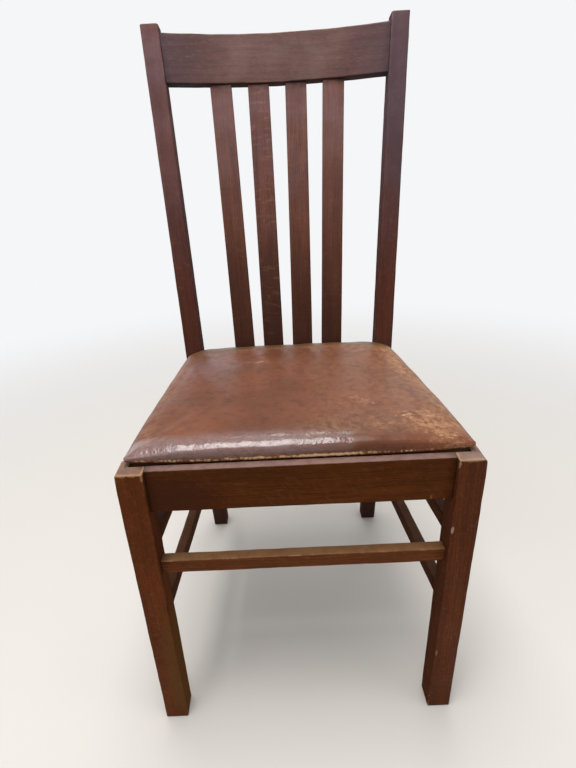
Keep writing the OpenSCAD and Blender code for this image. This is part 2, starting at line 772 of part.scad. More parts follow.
module tack_row(grow) {
    front_x = side_in(rail_back) - block_len - tack_head_d;
    rear_x = side_in(rear_rail_y) - block_len - tack_head_d;
    y0 = rail_back + block_len + tack_head_d;
    y1 = rear_rail_y - block_len - tack_head_d;
    for (t = tack_cross_shares) {
        translate([t * front_x, well_front + tack_inset, cover_z]) tack(grow);
        translate([t * rear_x, seat_depth - tack_inset, cover_z]) tack(grow);
    }
    for (s = [-1, 1], t = tack_side_shares) {
        y = mix(y0, y1, t);
        translate([s * (well_x(y) - tack_inset * side_norm), y, cover_z]) tack(grow);
    }
}

module tack(grow) {
    cylinder(r = tack_d / 2 + grow, h = tack_len + grow, $fn = 24);
    translate([0, 0, -tack_head_t]) cylinder(r = tack_head_d / 2, h = tack_head_t, $fn = 32);
}

in_place() color(wood) side(-1) front_leg();  // front_leg_left
in_place() color(wood) side(1) front_leg();  // front_leg_right
in_place() color(wood) side(-1) rear_post();  // rear_post_left
in_place() color(wood) side(1) rear_post();  // rear_post_right
in_place() color(wood) crest_rail();
in_place() color(wood) back_slat(0);  // back_slat_1
in_place() color(wood) back_slat(1);  // back_slat_2
in_place() color(wood) back_slat(2);  // back_slat_3
in_place() color(wood) back_slat(3);  // back_slat_4
in_place() color(wood) front_seat_rail();
in_place() color(wood) rear_seat_rail();
in_place() color(wood) side(-1) side_seat_rail();  // side_seat_rail_left
in_place() color(wood) side(1) side_seat_rail();  // side_seat_rail_right
in_place() color(wood)  // front_stretcher
    cross_bar(leg_in, front_stretcher_setback, front_stretcher_z);
in_place() color(wood)  // rear_stretcher
    cross_bar(post_in, rear_stretcher_y, rear_stretcher_z);
in_place() color(wood)  // lower_stretcher_left
    side(-1) side_stretcher(low_stretcher_z);
in_place() color(wood)  // lower_stretcher_right
    side(1) side_stretcher(low_stretcher_z);
in_place() color(wood)  // upper_stretcher_left
    side(-1) side_stretcher(high_stretcher_z);
in_place() color(wood)  // upper_stretcher_right
    side(1) side_stretcher(high_stretcher_z);
in_place() color(pale_wood)  // corner_block_front_left
    side(-1) corner_block(rail_back, 1);
in_place() color(pale_wood)  // corner_block_front_right
    side(1) corner_block(rail_back, 1);
in_place() color(pale_wood)  // corner_block_rear_left
    side(-1) corner_block(rear_rail_y, -1);
in_place() color(pale_wood)  // corner_block_rear_right
    side(1) corner_block(rear_rail_y, -1);
in_place() color(steel) corner_block_screws();
in_place() color(pale_wood) seat_frame_cross(false);  // seat_frame_front
in_place() color(pale_wood) seat_frame_cross(true);  // seat_frame_back
in_place() color(pale_wood) seat_frame_side(-1);  // seat_frame_left
in_place() color(pale_wood) seat_frame_side(1);  // seat_frame_right
in_place() color(jute) webbing_lengthwise();
in_place() color(jute) webbing_crosswise();
in_place() color(jute) hessian();
in_place() color(jute) stuffing();
in_place() color(leather) leather_cover();
in_place() color(cloth) dust_cover();
in_place() color(steel) tack_row(0);  // seat_tacks
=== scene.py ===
# Old oak side chair with four upright back slats and a worn leather slip seat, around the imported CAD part.
# Metres throughout. Formulas use y measured back from the front legs' faces, as the part's source does,
# and toFrame moves each finished surface to the part's own origin.
import bmesh
import bpy
import math
import numpy as np
from mathutils import Matrix, Vector


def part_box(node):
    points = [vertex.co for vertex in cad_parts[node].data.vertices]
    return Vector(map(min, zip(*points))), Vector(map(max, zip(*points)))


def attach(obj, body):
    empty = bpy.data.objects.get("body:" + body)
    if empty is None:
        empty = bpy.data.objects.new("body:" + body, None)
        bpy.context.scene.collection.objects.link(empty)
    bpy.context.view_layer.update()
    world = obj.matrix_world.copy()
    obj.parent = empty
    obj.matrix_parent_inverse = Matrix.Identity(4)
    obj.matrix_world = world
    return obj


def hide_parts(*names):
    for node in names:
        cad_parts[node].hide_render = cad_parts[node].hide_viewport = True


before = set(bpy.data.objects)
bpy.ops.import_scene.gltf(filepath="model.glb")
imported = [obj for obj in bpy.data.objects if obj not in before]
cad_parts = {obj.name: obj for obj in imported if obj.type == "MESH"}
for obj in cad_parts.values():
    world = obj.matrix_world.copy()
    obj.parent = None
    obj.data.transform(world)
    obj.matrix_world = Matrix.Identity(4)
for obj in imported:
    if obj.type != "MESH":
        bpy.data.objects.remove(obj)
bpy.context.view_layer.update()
print("frame loaded:", len(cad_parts), "nodes")

# The chair's sizes, as the part's source has them
chair = {
    "seatHigh": 0.445, "seatDeep": 0.363, "railLow": 0.386, "rebateFloor": 0.437,
    "legIn": 0.183, "legOut": 0.216, "legDeep": 0.033, "postIn": 0.1565, "postWide": 0.0295,
    "kneeHigh": 0.378, "kick": 0.075, "backHigh": 0.526, "splay": 0.030, "rake": math.radians(13.5),
    "sideSlope": 30 / 330, "railSetback": 0.007, "wellFront": 0.019, "sideLip": 0.007}
seatHigh, seatDeep, rake = chair["seatHigh"], chair["seatDeep"], chair["rake"]
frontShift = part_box("front_leg_left")[0].y
slant = math.sqrt(1 + chair["sideSlope"] ** 2)           # a side rail's length by its depth
upward = np.array([math.sin(rake), math.cos(rake)])      # along the raked posts, as y and z
backward = np.array([math.cos(rake), -math.sin(rake)])   # square to them


def toFrame(points):
    return points + np.array([0, frontShift, 0])


def sideX(y):
    return chair["legOut"] - chair["railSetback"] - chair["sideSlope"] * (y - chair["legDeep"])


def wellX(y):
    return sideX(y) - chair["sideLip"]


def postFace(z):
    return seatDeep + chair["kick"] * np.maximum(0, 1 - z / chair["kneeHigh"])


def postInner(z):
    return chair["postIn"] + chair["splay"] * np.maximum(0, z - seatHigh) / chair["backHigh"]


def fromBack(x, y, z):
    # A point of the raked plane, whose y runs square to the posts and z up them, in the chair's own axes
    return np.stack([x, seatDeep + y * math.cos(rake) + z * math.sin(rake),
                     seatHigh - y * math.sin(rake) + z * math.cos(rake)], axis=-1)


# Camera

camera = {
    "place": (-0.01902, -0.47245, 0.76623), "pitch": 25.28, "yaw": -0.48, "roll": -2.90,
    "focalPixels": 492.29, "longSide": 768, "shift": (11.55, 7.67)}


def makeCamera():
    data = bpy.data.cameras.new("photoCamera")
    data.sensor_width = 36
    data.lens = camera["focalPixels"] * data.sensor_width / camera["longSide"]
    data.shift_x, data.shift_y = (s / camera["longSide"] for s in camera["shift"])
    data.clip_start = 0.01
    pitch, yaw, roll = (math.radians(camera[k]) for k in ("pitch", "yaw", "roll"))
    ahead = Vector((math.sin(yaw) * math.cos(pitch), math.cos(yaw) * math.cos(pitch), -math.sin(pitch)))
    level = Vector((math.cos(yaw), -math.sin(yaw), 0))
    above = level.cross(ahead)
    right = math.cos(roll) * level + math.sin(roll) * above
    up = math.cos(roll) * above - math.sin(roll) * level
    turn = Matrix((right, up, -ahead)).transposed().to_4x4()
    holder = bpy.data.objects.new("photoCamera", data)
    bpy.context.scene.collection.objects.link(holder)
    holder.matrix_world = Matrix.Translation(toFrame(np.array(camera["place"]))) @ turn
    bpy.context.scene.camera = holder


makeCamera()


# Meshes

def makeObject(name, points, faces, vectors=None, numbers=None, smooth=True):
    mesh = bpy.data.meshes.new(name)
    mesh.from_pydata(points.tolist(), [], faces)
    for label, values in (vectors or {}).items():
        layer = mesh.attributes.new(label, "FLOAT_VECTOR", "POINT")
        layer.data.foreach_set("vector", np.ascontiguousarray(values, dtype=np.float32).ravel())
    for label, values in (numbers or {}).items():
        layer = mesh.attributes.new(label, "FLOAT", "POINT")
        layer.data.foreach_set("value", np.ascontiguousarray(values, dtype=np.float32).ravel())
    mesh.validate()
    mesh.update()
    if smooth:
        mesh.shade_smooth()
    piece = bpy.data.objects.new(name, mesh)
    bpy.context.scene.collection.objects.link(piece)
    return piece


def facesOf(rows, columns, flip):
    # Quads of a grid whose columns close on themselves, then its two end faces
    i, k = np.meshgrid(np.arange(rows - 1), np.arange(columns), indexing="ij")
    nextK = (k + 1) % columns
    quads = np.stack([i * columns + k, i * columns + nextK, (i + 1) * columns + nextK,
                      (i + 1) * columns + k], axis=-1).reshape(-1, 4)
    ends = [list(range(columns))[::-1], list(range((rows - 1) * columns, rows * columns))]
    if flip:
        quads, ends = quads[:, ::-1], [end[::-1] for end in ends]
    return quads.tolist() + ends


def grainOffset(seed):
    # Where in the tree a member was sawn from
    return np.random.default_rng(seed).uniform(-4, 4, 3)


def shadeEvenly(piece, degrees):
    piece.data.set_sharp_from_angle(angle=math.radians(degrees))
    piece.modifiers.new("evenShading", "WEIGHTED_NORMAL").keep_sharp = True


def thicken(piece, thick):
    shell = piece.modifiers.new("thickness", "SOLIDIFY")
    shell.thickness, shell.offset = thick, -1


def standFor(piece, node, body):
    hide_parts(node)
    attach(piece, body)


def wander(t, seed, size=1.0):
    # A smooth random line: five sine waves of rising pitch and falling height, each with its own phase
    rng = np.random.default_rng(seed)
    pitch = np.array([1.3, 2.9, 6.1, 11.7, 23.0]) * rng.uniform(0.8, 1.2, 5)
    phase = rng.uniform(0, 2 * math.pi, 5)
    height = np.array([0.5, 0.4, 0.35, 0.25, 0.2])
    return size * (np.sin(2 * math.pi * np.asarray(t)[..., None] * pitch + phase) * height).sum(-1)


def stationsAlong(length, rounds, marks=(), step=0.012):
    # Places along a member, as shares of its length, and how far its section is drawn in there:
    # a quarter circle at each end, of the radii in rounds, and even steps and marks between
    quarter = np.radians([90, 60, 30, 0])
    first, last = (r * (1 - np.sin(quarter)) / length for r in rounds)
    drawFirst, drawLast = (r * (1 - np.cos(quarter)) for r in rounds)
    steps = np.linspace(first[-1], 1 - last[-1], max(3, int(length / step)))[1:-1]
    steps = np.sort(np.concatenate([steps, np.asarray(marks, float)]))
    s = np.concatenate([first, steps, 1 - last[::-1]])
    draw = np.concatenate([drawFirst, np.zeros(len(steps)), drawLast[::-1]])
    return s, draw


def sectionRings(corners, radii, draw, sidePoints=1):
    # corners is stations x corners x 2. Each corner is drawn in along its mitre by draw, then becomes a curve
    # between its tangent points that bends towards it. Each side also gets points between its corners.
    # A corner counts towards the rim if its sine is over sharpSine.
    mostReach, sharpSine = 0.45, 0.3
    into = corners - np.roll(corners, 1, axis=1)
    away = np.roll(into, -1, axis=1)
    longInto = np.linalg.norm(into, axis=2, keepdims=True)
    longAway = np.linalg.norm(away, axis=2, keepdims=True)
    dirInto, dirAway = into / longInto, away / longAway
    squareInto = np.stack([-dirInto[..., 1], dirInto[..., 0]], axis=-1)
    squareAway = np.stack([-dirAway[..., 1], dirAway[..., 0]], axis=-1)
    mitre = (squareInto + squareAway) / (1 + (squareInto * squareAway).sum(2, keepdims=True))
    bend = np.abs(dirInto[..., 0] * dirAway[..., 1] - dirInto[..., 1] * dirAway[..., 0]) > sharpSine
    points = corners + mitre * draw[:, None, None]
    reach = np.minimum(radii[..., None], mostReach * np.minimum(longInto, longAway))
    start, stop = points - dirInto * reach, points + dirAway * reach
    t = np.linspace(0, 1, 4)[None, None, :, None]
    arc = (1 - t) ** 2 * start[:, :, None] + 2 * t * (1 - t) * points[:, :, None] + t ** 2 * stop[:, :, None]
    t = (np.arange(sidePoints) + 1)[None, None, :, None] / (sidePoints + 1)
    side = (1 - t) * stop[:, :, None] + t * np.roll(start, -1, axis=1)[:, :, None]
    rings = np.concatenate([arc, side], axis=2).reshape(len(corners), -1, 2)
    gaps = np.linalg.norm(rings[:, :, None] - points[:, None], axis=3)
    rim = np.where(bend[:, None], gaps, 1.0).min(2)
    return rings, rim


capSteps = np.array([0.92, 0.62, 0.25])


def addCap(rings, rim, s, depth, centre, atEnd):
    # Rings drawn in from a free end's rim towards centre, each with how far in from the rim it lies
    rim0, ring0 = (rim[-1], rings[-1]) if atEnd else (rim[0], rings[0])
    middle = ring0.mean(0) if centre is None else np.array(centre)
    cap = middle + (ring0 - middle) * capSteps[:, None, None]
    deep = np.linalg.norm(ring0 - cap, axis=2)
    s1 = np.full(len(capSteps), s[-1] if atEnd else s[0])
    if atEnd:
        return (np.concatenate([rings, cap]), np.concatenate([rim, rim0 + deep]), np.concatenate([s, s1]),
                np.concatenate([depth, deep]))
    return (np.concatenate([cap[::-1], rings]), np.concatenate([rim0 + deep[::-1], rim]),
            np.concatenate([s1, s]), np.concatenate([deep[::-1], depth]))


# How the corners' radii wander along a member: over what length, by how much, and between what limits
cornerWander = {"pitch": 0.25, "much": 0.45, "limits": (0.35, 2.2)}


def sweepMember(name, node, s, draw, corners, radii, length, place, seed, ends=("butt", "butt"),
                mirror=False, rub=0.3, bare=None, sidePoints=1, topCentre=None, reshape=None):
    # A section with softened corners carried along a member: place gives the surface point at a share s of
    # the length and at a and b in the section. The corners' radii wander, as sanding and wear leave them.
    corners = np.broadcast_to(corners, (len(s),) + np.shape(corners)[-2:])
    radii = np.broadcast_to(radii, corners.shape[:2])
    loose = np.stack([wander(s * length / cornerWander["pitch"], seed * 31 + c)
                      for c in range(corners.shape[1])], axis=1)
    loose = np.clip(1 + cornerWander["much"] * loose, *cornerWander["limits"])
    rings, rim = sectionRings(corners, radii * loose, draw, sidePoints)
    depth = np.zeros(rim.shape)
    if ends[0] == "free":
        rings, rim, s, depth = addCap(rings, rim, s, depth, None, False)
    if ends[1] == "free":
        rings, rim, s, depth = addCap(rings, rim, s, depth, topCentre, True)
    a, b, along = rings[..., 0], rings[..., 1], np.broadcast_to(s[:, None], rings.shape[:2])
    points = place(along, a, b)
    if reshape:
        points = reshape(points)
    points = toFrame(points)
    if mirror:
        points = points * np.array([-1, 1, 1])
    u = along * length
    far = np.full(u.shape, 1.0)
    free = np.minimum(u + depth if ends[0] == "free" else far,
                      length - u + depth if ends[1] == "free" else far)
    butt = np.minimum(u if ends[0] == "butt" else far, length - u if ends[1] == "butt" else far)
    rubbed = rub(points) if callable(rub) else np.full(u.shape, rub)
    inside = np.zeros(u.shape) if bare is None else bare(a, b)
    piece = makeObject(
        name, points.reshape(-1, 3), facesOf(rings.shape[0], rings.shape[1], mirror),
        vectors={"grain": np.stack([u, a, b], axis=-1) + grainOffset(seed),
                 "rim": np.stack([rim, free, butt], axis=-1)},
        numbers={"rub": rubbed, "bare": inside})
    shadeEvenly(piece, 50)
    standFor(piece, node, "frame")
    return piece


def buttMember(name, node, jointRound, corners, radii, length, place, seed, step=0.012, **more):
    # A member whose ends both stand against others
    s, draw = stationsAlong(length, (jointRound, jointRound), step=step)
    return sweepMember(name, node, s, draw, corners, radii, length, place, seed, **more)


def fromSideToSide(half):
    return lambda t, a, b: np.stack([-half + 2 * half * t, a, b], axis=-1)


def rectangle(a0, b0, a1, b1):
    return np.array([[a0, b0], [a1, b0], [a1, b1], [a0, b1]], float)


def ramp(value, low, high):
    t = np.clip((value - low) / (high - low), 0, 1)
    return t * t * (3 - 2 * t)


def rubbedBy(least, *steps):
    # How rubbed a point is: least, and more by each step between two heights
    return lambda p: least + sum(more * ramp(p[..., 2], start, stop) for more, start, stop in steps)


# Front legs

frontLeg = {"cornerRadius": 0.0016, "topRadius": 0.0022, "outerTopRadius": 0.0042, "footRadius": 0.002,
            "topRound": 0.0013, "wornCorner": {"Left": 0.0045, "Right": 0.0065}, "topCentre": (0.206, 0.010),
            "rub": (0.2, (0.8, 0.425, 0.443), (0.3, 0.05, 0.0)), "topFrom": (0.955, 0.995),
            "cornerShares": (1, 1, 1, 0.4, 1, 0.4), "topShares": (0.8, 0, 0.9, 0.2, 0.1, 0.2)}


def makeFrontLeg(sideName, seed, mirror):
    x0, x1, d = chair["legIn"], chair["legOut"], chair["legDeep"]
    front, high, floor = chair["wellFront"], seatHigh, chair["rebateFloor"]
    step = floor / high
    worn = frontLeg["wornCorner"][sideName]
    near = 1 - np.linspace(1.1, 0.35, 6) * worn / high
    s, draw = stationsAlong(high, (frontLeg["footRadius"], frontLeg["topRound"]),
                            [step - 1e-6, step + 1e-6, 0.97, *near])
    below = np.array([[x0, 0], [x1, 0], [x1, d], [wellX(d), d], [x0, d], [x0, front]])
    above = np.array([[x0, 0], [x1, 0], [x1, d], [wellX(d), d], [wellX(front), front], [x0, front]])
    upper = (s > step)[:, None, None]
    corners = np.where(upper, above, below)
    use = ramp(s, *frontLeg["topFrom"])[:, None]
    low = np.array(frontLeg["cornerShares"]) * frontLeg["cornerRadius"]
    top = np.array(frontLeg["topShares"]) * frontLeg["topRadius"]
    top[1] = frontLeg["outerTopRadius"]

    def roundTop(p):
        # The outer top edge is worn to a quarter circle, seen from the front
        out = p[..., [0, 2]] - np.array([x1 - worn, high - worn])
        far = np.linalg.norm(out, axis=-1)
        pull = np.where((out > 0).all(-1), np.minimum(1, worn / np.maximum(far, 1e-9)), 1)[..., None]
        xz = np.array([x1 - worn, high - worn]) + out * pull
        return np.stack([xz[..., 0], p[..., 1], xz[..., 1]], axis=-1)

    return sweepMember(
        "frontLeg" + sideName, "front_leg_" + sideName.lower(), s, draw, corners, low + use * (top - low),
        high, lambda t, a, b: np.stack([a, b, t * high], axis=-1), seed, ("free", "free"), mirror,
        rubbedBy(*frontLeg["rub"]), sidePoints=5, topCentre=frontLeg["topCentre"], reshape=roundTop)


# Rear posts

rearPost = {
    "cornerRadius": 0.0018, "topRadius": 0.003, "footRadius": 0.002, "topRound": 0.002,
    "foot": (0.438, 0.467), "topDepth": 0.024, "depth": 0.032,
    "rub": (0.22, (0.55, 0.86, 0.97), (0.3, 0.05, 0.0)), "topFrom": (0.93, 1.0), "bendMark": 0.003}


def makeRearPost(sideName, seed, mirror):
    knee, deep, high = chair["kneeHigh"], rearPost["depth"], seatHigh
    backLong = chair["backHigh"] / math.cos(rake)
    lean = math.atan2(chair["kick"], knee)
    top = np.array([seatDeep, high]) + backLong * upward
    fronts = np.array([[rearPost["foot"][0], 0], [seatDeep, knee], [seatDeep, high], top])
    backs = np.array([[rearPost["foot"][1], 0], [seatDeep + deep, knee + deep * math.tan(lean / 2)],
                      [seatDeep + deep, high - deep * math.tan(rake / 2)],
                      top + rearPost["topDepth"] * backward])
    reach = np.concatenate([[0], np.cumsum(np.linalg.norm(np.diff(fronts, axis=0), axis=1))])
    length = reach[-1]
    keys = reach / length
    s, draw = stationsAlong(length, (rearPost["footRadius"], rearPost["topRound"]),
                            (keys[1], keys[2], keys[1] - rearPost["bendMark"], keys[2] + rearPost["bendMark"]))

    def line(ends, t):
        return np.stack([np.interp(t, keys, ends[:, 0]), np.interp(t, keys, ends[:, 1])], axis=-1)

    depth = np.linalg.norm(line(backs, s) - line(fronts, s), axis=1)
    corners = rectangle(0, 0, 1, 1) * np.stack([np.full(len(s), chair["postWide"]), depth], -1)[:, None]
    worn = ramp(s, *rearPost["topFrom"])[:, None]
    radii = rearPost["cornerRadius"] + worn * (rearPost["topRadius"] - rearPost["cornerRadius"])
    radii = np.repeat(radii, 4, axis=1)

    def place(t, a, b):
        front, back = line(fronts, t), line(backs, t)
        across = (back - front) / np.linalg.norm(back - front, axis=-1, keepdims=True)
        yz = front + b[..., None] * across
        return np.stack([postInner(yz[..., 1]) + a, yz[..., 0], yz[..., 1]], axis=-1)

    return sweepMember(
        "rearPost" + sideName, "rear_post_" + sideName.lower(), s, draw, corners, radii, length, place, seed,
        ("free", "free"), mirror, rubbedBy(*rearPost["rub"]), sidePoints=3)


# Crest rail: an arc in the raked plane, whose ends follow the posts' splayed inner faces

crest = {"high": 0.074, "thick": 0.019, "setback": 0.004, "bow": 0.0185, "drop": 0.012,
         "cornerRadius": 0.0022, "jointRound": 0.0004, "rub": (0.15, (0.5, 0.9, 0.93))}
crest["low"] = chair["backHigh"] / math.cos(rake) - crest["drop"] - crest["high"]
crestMiddle = crest["low"] + crest["high"] / 2
crestHalf = chair["postIn"] + chair["splay"] * crestMiddle * math.cos(rake) / chair["backHigh"]
crest["radius"] = (crestHalf ** 2 + crest["bow"] ** 2) / (2 * crest["bow"])
crest["centre"] = crest["setback"] + crest["bow"] - crest["radius"]


def makeCrestRail(seed):
    def place(t, a, b):
        r = crest["radius"] + a
        z = crest["low"] + b
        angle = np.arcsin(crestHalf / r)
        for _ in range(4):
            height = seatHigh + z * math.cos(rake) - (crest["centre"] + r * np.cos(angle)) * math.sin(rake)
            angle = np.arcsin(postInner(height) / r)
        angle = angle * (2 * t - 1)
        return fromBack(r * np.sin(angle), crest["centre"] + r * np.cos(angle), z)

    return buttMember("crestRail", "crest_rail", crest["jointRound"],
                      rectangle(0, 0, crest["thick"], crest["high"]), crest["cornerRadius"], 2 * crestHalf,
                      place, seed, step=0.008, rub=rubbedBy(*crest["rub"]))


# Slats: flat boards that stand in the rear rail and fan out to the crest rail's underside

slat = {"wide": 0.0355, "thick": 0.011, "setback": 0.0115, "pitch": 0.0525, "topPitch": 0.063,
        "cornerRadius": 0.0013, "jointRound": 0.0004, "rub": 0.18}


def makeSlat(number, seed):
    share = number - 2.5
    middle = crest["radius"] + crest["thick"] / 2
    headX = share * slat["topPitch"]
    foot = np.array([share * slat["pitch"], slat["setback"] + slat["thick"] / 2, 0])
    head = np.array([headX, crest["centre"] + math.sqrt(middle ** 2 - headX ** 2), crest["low"]])
    d = head - foot
    length = float(np.linalg.norm(d))
    tilt, fan = -math.atan2(d[1], d[2]), math.atan2(d[0], math.hypot(d[1], d[2]))
    turn = np.array(Matrix.Rotation(tilt, 3, "X") @ Matrix.Rotation(fan, 3, "Y"))
    level = np.array([0, -math.sin(rake), math.cos(rake)])   # the floor's normal, seen in the raked plane

    def place(t, a, b):
        base = foot + a[..., None] * turn[:, 0] + b[..., None] * turn[:, 1]
        lowest = -(base @ level) / (turn[:, 2] @ level)
        highest = (crest["low"] - base[..., 2]) / turn[2, 2]
        p = base + (lowest + t * (highest - lowest))[..., None] * turn[:, 2]
        return fromBack(p[..., 0], p[..., 1], p[..., 2])

    return buttMember(f"backSlat{number}", f"back_slat_{number}", slat["jointRound"],
                      rectangle(-slat["wide"] / 2, -slat["thick"] / 2, slat["wide"] / 2, slat["thick"] / 2),
                      slat["cornerRadius"], length, place, seed, step=0.015, rub=slat["rub"])


# Seat rails: the front and side ones have a rebate for the slip seat, and bare wood inside

seatRail = {"thick": 0.022, "frontLip": 0.012, "cornerRadius": 0.0012, "lipRadius": 0.0022,
            "jointRound": 0.0005, "rearSetback": 0.005, "rub": (0.3, (0.7, 0.43, 0.441)),
            "frontStain": (0.012, 0.021), "sideStain": (0.008, 0.021), "rearStain": (0.014, 0.001),
            "topStain": (0.44, 0.43)}


def rebated(a0, lip):
    return np.array([[a0, chair["railLow"]], [a0 + seatRail["thick"], chair["railLow"]],
                     [a0 + seatRail["thick"], chair["rebateFloor"]], [a0 + lip, chair["rebateFloor"]],
                     [a0 + lip, seatHigh], [a0, seatHigh]])


rebatedRadii = np.array([[1, 0.5, 0.4, 0.1, 0.6, 0]]) * seatRail["cornerRadius"]
rebatedRadii[0, 5] = seatRail["lipRadius"]


def makeFrontRail(seed):
    half, outer, (low, high) = chair["legIn"], chair["railSetback"], seatRail["frontStain"]
    return buttMember(
        "frontSeatRail", "front_seat_rail", seatRail["jointRound"], rebated(outer, seatRail["frontLip"]),
        rebatedRadii, 2 * half, fromSideToSide(half), seed, rub=rubbedBy(*seatRail["rub"]),
        bare=lambda a, b: ramp(a, outer + low, outer + high))


def makeSideRail(sideName, seed, mirror):
    start, length = chair["legDeep"], seatDeep - chair["legDeep"]

    def place(t, a, b):
        y = start + t * length
        return np.stack([sideX(y) - a, y, b], axis=-1)

    return buttMember("sideSeatRail" + sideName, "side_seat_rail_" + sideName.lower(), seatRail["jointRound"],
                      rebated(0, chair["sideLip"]), rebatedRadii, length, place, seed, mirror=mirror,
                      rub=rubbedBy(*seatRail["rub"]), bare=lambda a, b: ramp(a, *seatRail["sideStain"]))


def makeRearRail(seed):
    half, front, (low, high) = chair["postIn"], seatDeep + seatRail["rearSetback"], seatRail["rearStain"]
    return buttMember(
        "rearSeatRail", "rear_seat_rail", seatRail["jointRound"],
        rectangle(front, chair["railLow"], front + seatRail["thick"], seatHigh), seatRail["cornerRadius"],
        2 * half, fromSideToSide(half), seed, rub=rubbedBy(*seatRail["rub"]),
        bare=lambda a, b: ramp(a, front + low, front + high) * ramp(b, *seatRail["topStain"]))


# Stretchers

stretcher = {"high": 0.020, "thick": 0.015, "inset": 0.0015, "frontSetback": 0.008, "frontLow": 0.286,
             "rearLow": 0.260, "lowerLow": 0.203, "upperLow": 0.319, "cornerRadius": 0.0014,
             "jointRound": 0.0005}


def makeCrossStretcher(name, node, half, front, low, seed, topRub):
    high = low + stretcher["high"]
    return buttMember(name, node, stretcher["jointRound"],
                      rectangle(front, low, front + stretcher["thick"], high),
                      np.array([[1, 1, 1, 1 + topRub]]) * stretcher["cornerRadius"], 2 * half,
                      fromSideToSide(half), seed,
                      rub=rubbedBy(0.25, (topRub, low + 0.6 * stretcher["high"], high)))


def makeSideStretcher(name, node, low, seed, mirror):
    start = chair["legDeep"]
    end = float(postFace(low + stretcher["high"] / 2))
    x0 = chair["legIn"] + stretcher["inset"] + stretcher["thick"] / 2
    x1 = chair["postIn"] + stretcher["inset"] + stretcher["thick"] / 2

    def place(t, a, b):
        y = start + t * (postFace(low + b) - start)
        return np.stack([x0 + (x1 - x0) * (y - start) / (end - start) - a, y, low + b], axis=-1)

    half = stretcher["thick"] / 2
    return buttMember(name, node, stretcher["jointRound"], rectangle(-half, 0, half, stretcher["high"]),
                      stretcher["cornerRadius"], end - start, place, seed, mirror=mirror)


# The numbers are the seeds of each member's wander and of its place in the grain
legs = [makeFrontLeg("Left", 11, True), makeFrontLeg("Right", 12, False)]
posts = [makeRearPost("Left", 21, True), makeRearPost("Right", 22, False)]
crestRail = makeCrestRail(31)
slats = [makeSlat(n, 40 + n) for n in (1, 2, 3, 4)]
frontRail = makeFrontRail(51)
otherRails = [makeSideRail("Left", 52, True), makeSideRail("Right", 53, False), makeRearRail(54)]
frontStretcher = makeCrossStretcher("frontStretcher", "front_stretcher", chair["legIn"],
                                    stretcher["frontSetback"], stretcher["frontLow"], 61, 0.7)
otherStretchers = [makeCrossStretcher(
    "rearStretcher", "rear_stretcher", chair["postIn"],
    float(postFace(stretcher["rearLow"])) + stretcher["inset"], stretcher["rearLow"], 62, 0)]
otherStretchers += [
    makeSideStretcher(f"{level}Stretcher{side}", f"{level}_stretcher_{side.lower()}",
                      stretcher[level + "Low"], seed, side == "Left")
    for seed, level, side in ((63, "lower", "Left"), (64, "lower", "Right"), (65, "upper", "Left"),
                              (66, "upper", "Right"))]
print("oak members made:", len(legs + posts + slats + otherRails + otherStretchers) + 3)


# Node shorthand: a value that is another node's output is linked, any other is set, and a node joins the tree
# that its inputs come from

def feedNode(node, values):
    for key, value in values.items():
        if isinstance(value, bpy.types.NodeSocket):
            node.id_data.links.new(value, node.inputs[key])
        else:
            node.inputs[key].default_value = value
    return node


def put(tree, kind, feed=None, **settings):
    made = tree.nodes.new(kind)
    for key, value in settings.items():
        setattr(made, key, value)
    return feedNode(made, feed or {})


def derived(kind, feed, out=0, **settings):
    tree = next(value.id_data for value in feed.values() if isinstance(value, bpy.types.NodeSocket))
    return put(tree, kind, feed, **settings).outputs[out]


def calc(operation, *values, clamp=False):
    return derived("ShaderNodeMath", dict(enumerate(values)), operation=operation, use_clamp=clamp)


def add(a, b, clamp=False):
    return calc("ADD", a, b, clamp=clamp)


def sub(a, b):
    return calc("SUBTRACT", a, b)


def mul(a, b):
    return calc("MULTIPLY", a, b)


def most(a, b):
    return calc("MAXIMUM", a, b)


def vectorCalc(operation, *values, out=0):
    return derived("ShaderNodeVectorMath", dict(enumerate(values)), out, operation=operation)


def scaled(vector, factors):
    return vectorCalc("MULTIPLY", vector, factors)


def split(vector):
    return put(vector.id_data, "ShaderNodeSeparateXYZ", {0: vector}).outputs


def noise(vector, scale, detail=2.0, rough=0.5, out=0):
    feed = {"Vector": vector, "Scale": scale, "Detail": detail, "Roughness": rough}
    return derived("ShaderNodeTexNoise", feed, out)


def between(value, low, high, to0=0.0, to1=1.0):
    return derived("ShaderNodeMapRange", {0: value, 1: low, 2: high, 3: to0, 4: to1},
                   interpolation_type="SMOOTHSTEP")


def bumped(height, strength, distance, under=None):
    feed = {"Height": height, "Strength": strength, "Distance": distance}
    return derived("ShaderNodeBump", feed if under is None else feed | {"Normal": under})


def attribute(tree, name, out="Fac"):
    return put(tree, "ShaderNodeAttribute", attribute_name=name).outputs[out]


def objectPlace(tree):
    return put(tree, "ShaderNodeTexCoord").outputs["Object"]


def facing(tree):
    return split(put(tree, "ShaderNodeNewGeometry").outputs["Normal"])


def rgb(hexText):
    # A screen colour written as six hex digits, in Blender's linear values
    parts = [int(hexText[i:i + 2], 16) / 255 for i in (0, 2, 4)]
    return tuple(c / 12.92 if c <= 0.04045 else ((c + 0.055) / 1.055) ** 2.4 for c in parts) + (1.0,)


def blended(amount, first, second):
    first, second = (rgb(colour) if isinstance(colour, str) else colour for colour in (first, second))
    return derived("ShaderNodeMix", {0: amount, 6: first, 7: second}, 2, data_type="RGBA", clamp_factor=True)


def layered(tint, layers):
    # Colours laid one over another, each with how much of it shows
    for amount, colour in layers:
        tint = blended(amount, tint, colour)
    return tint


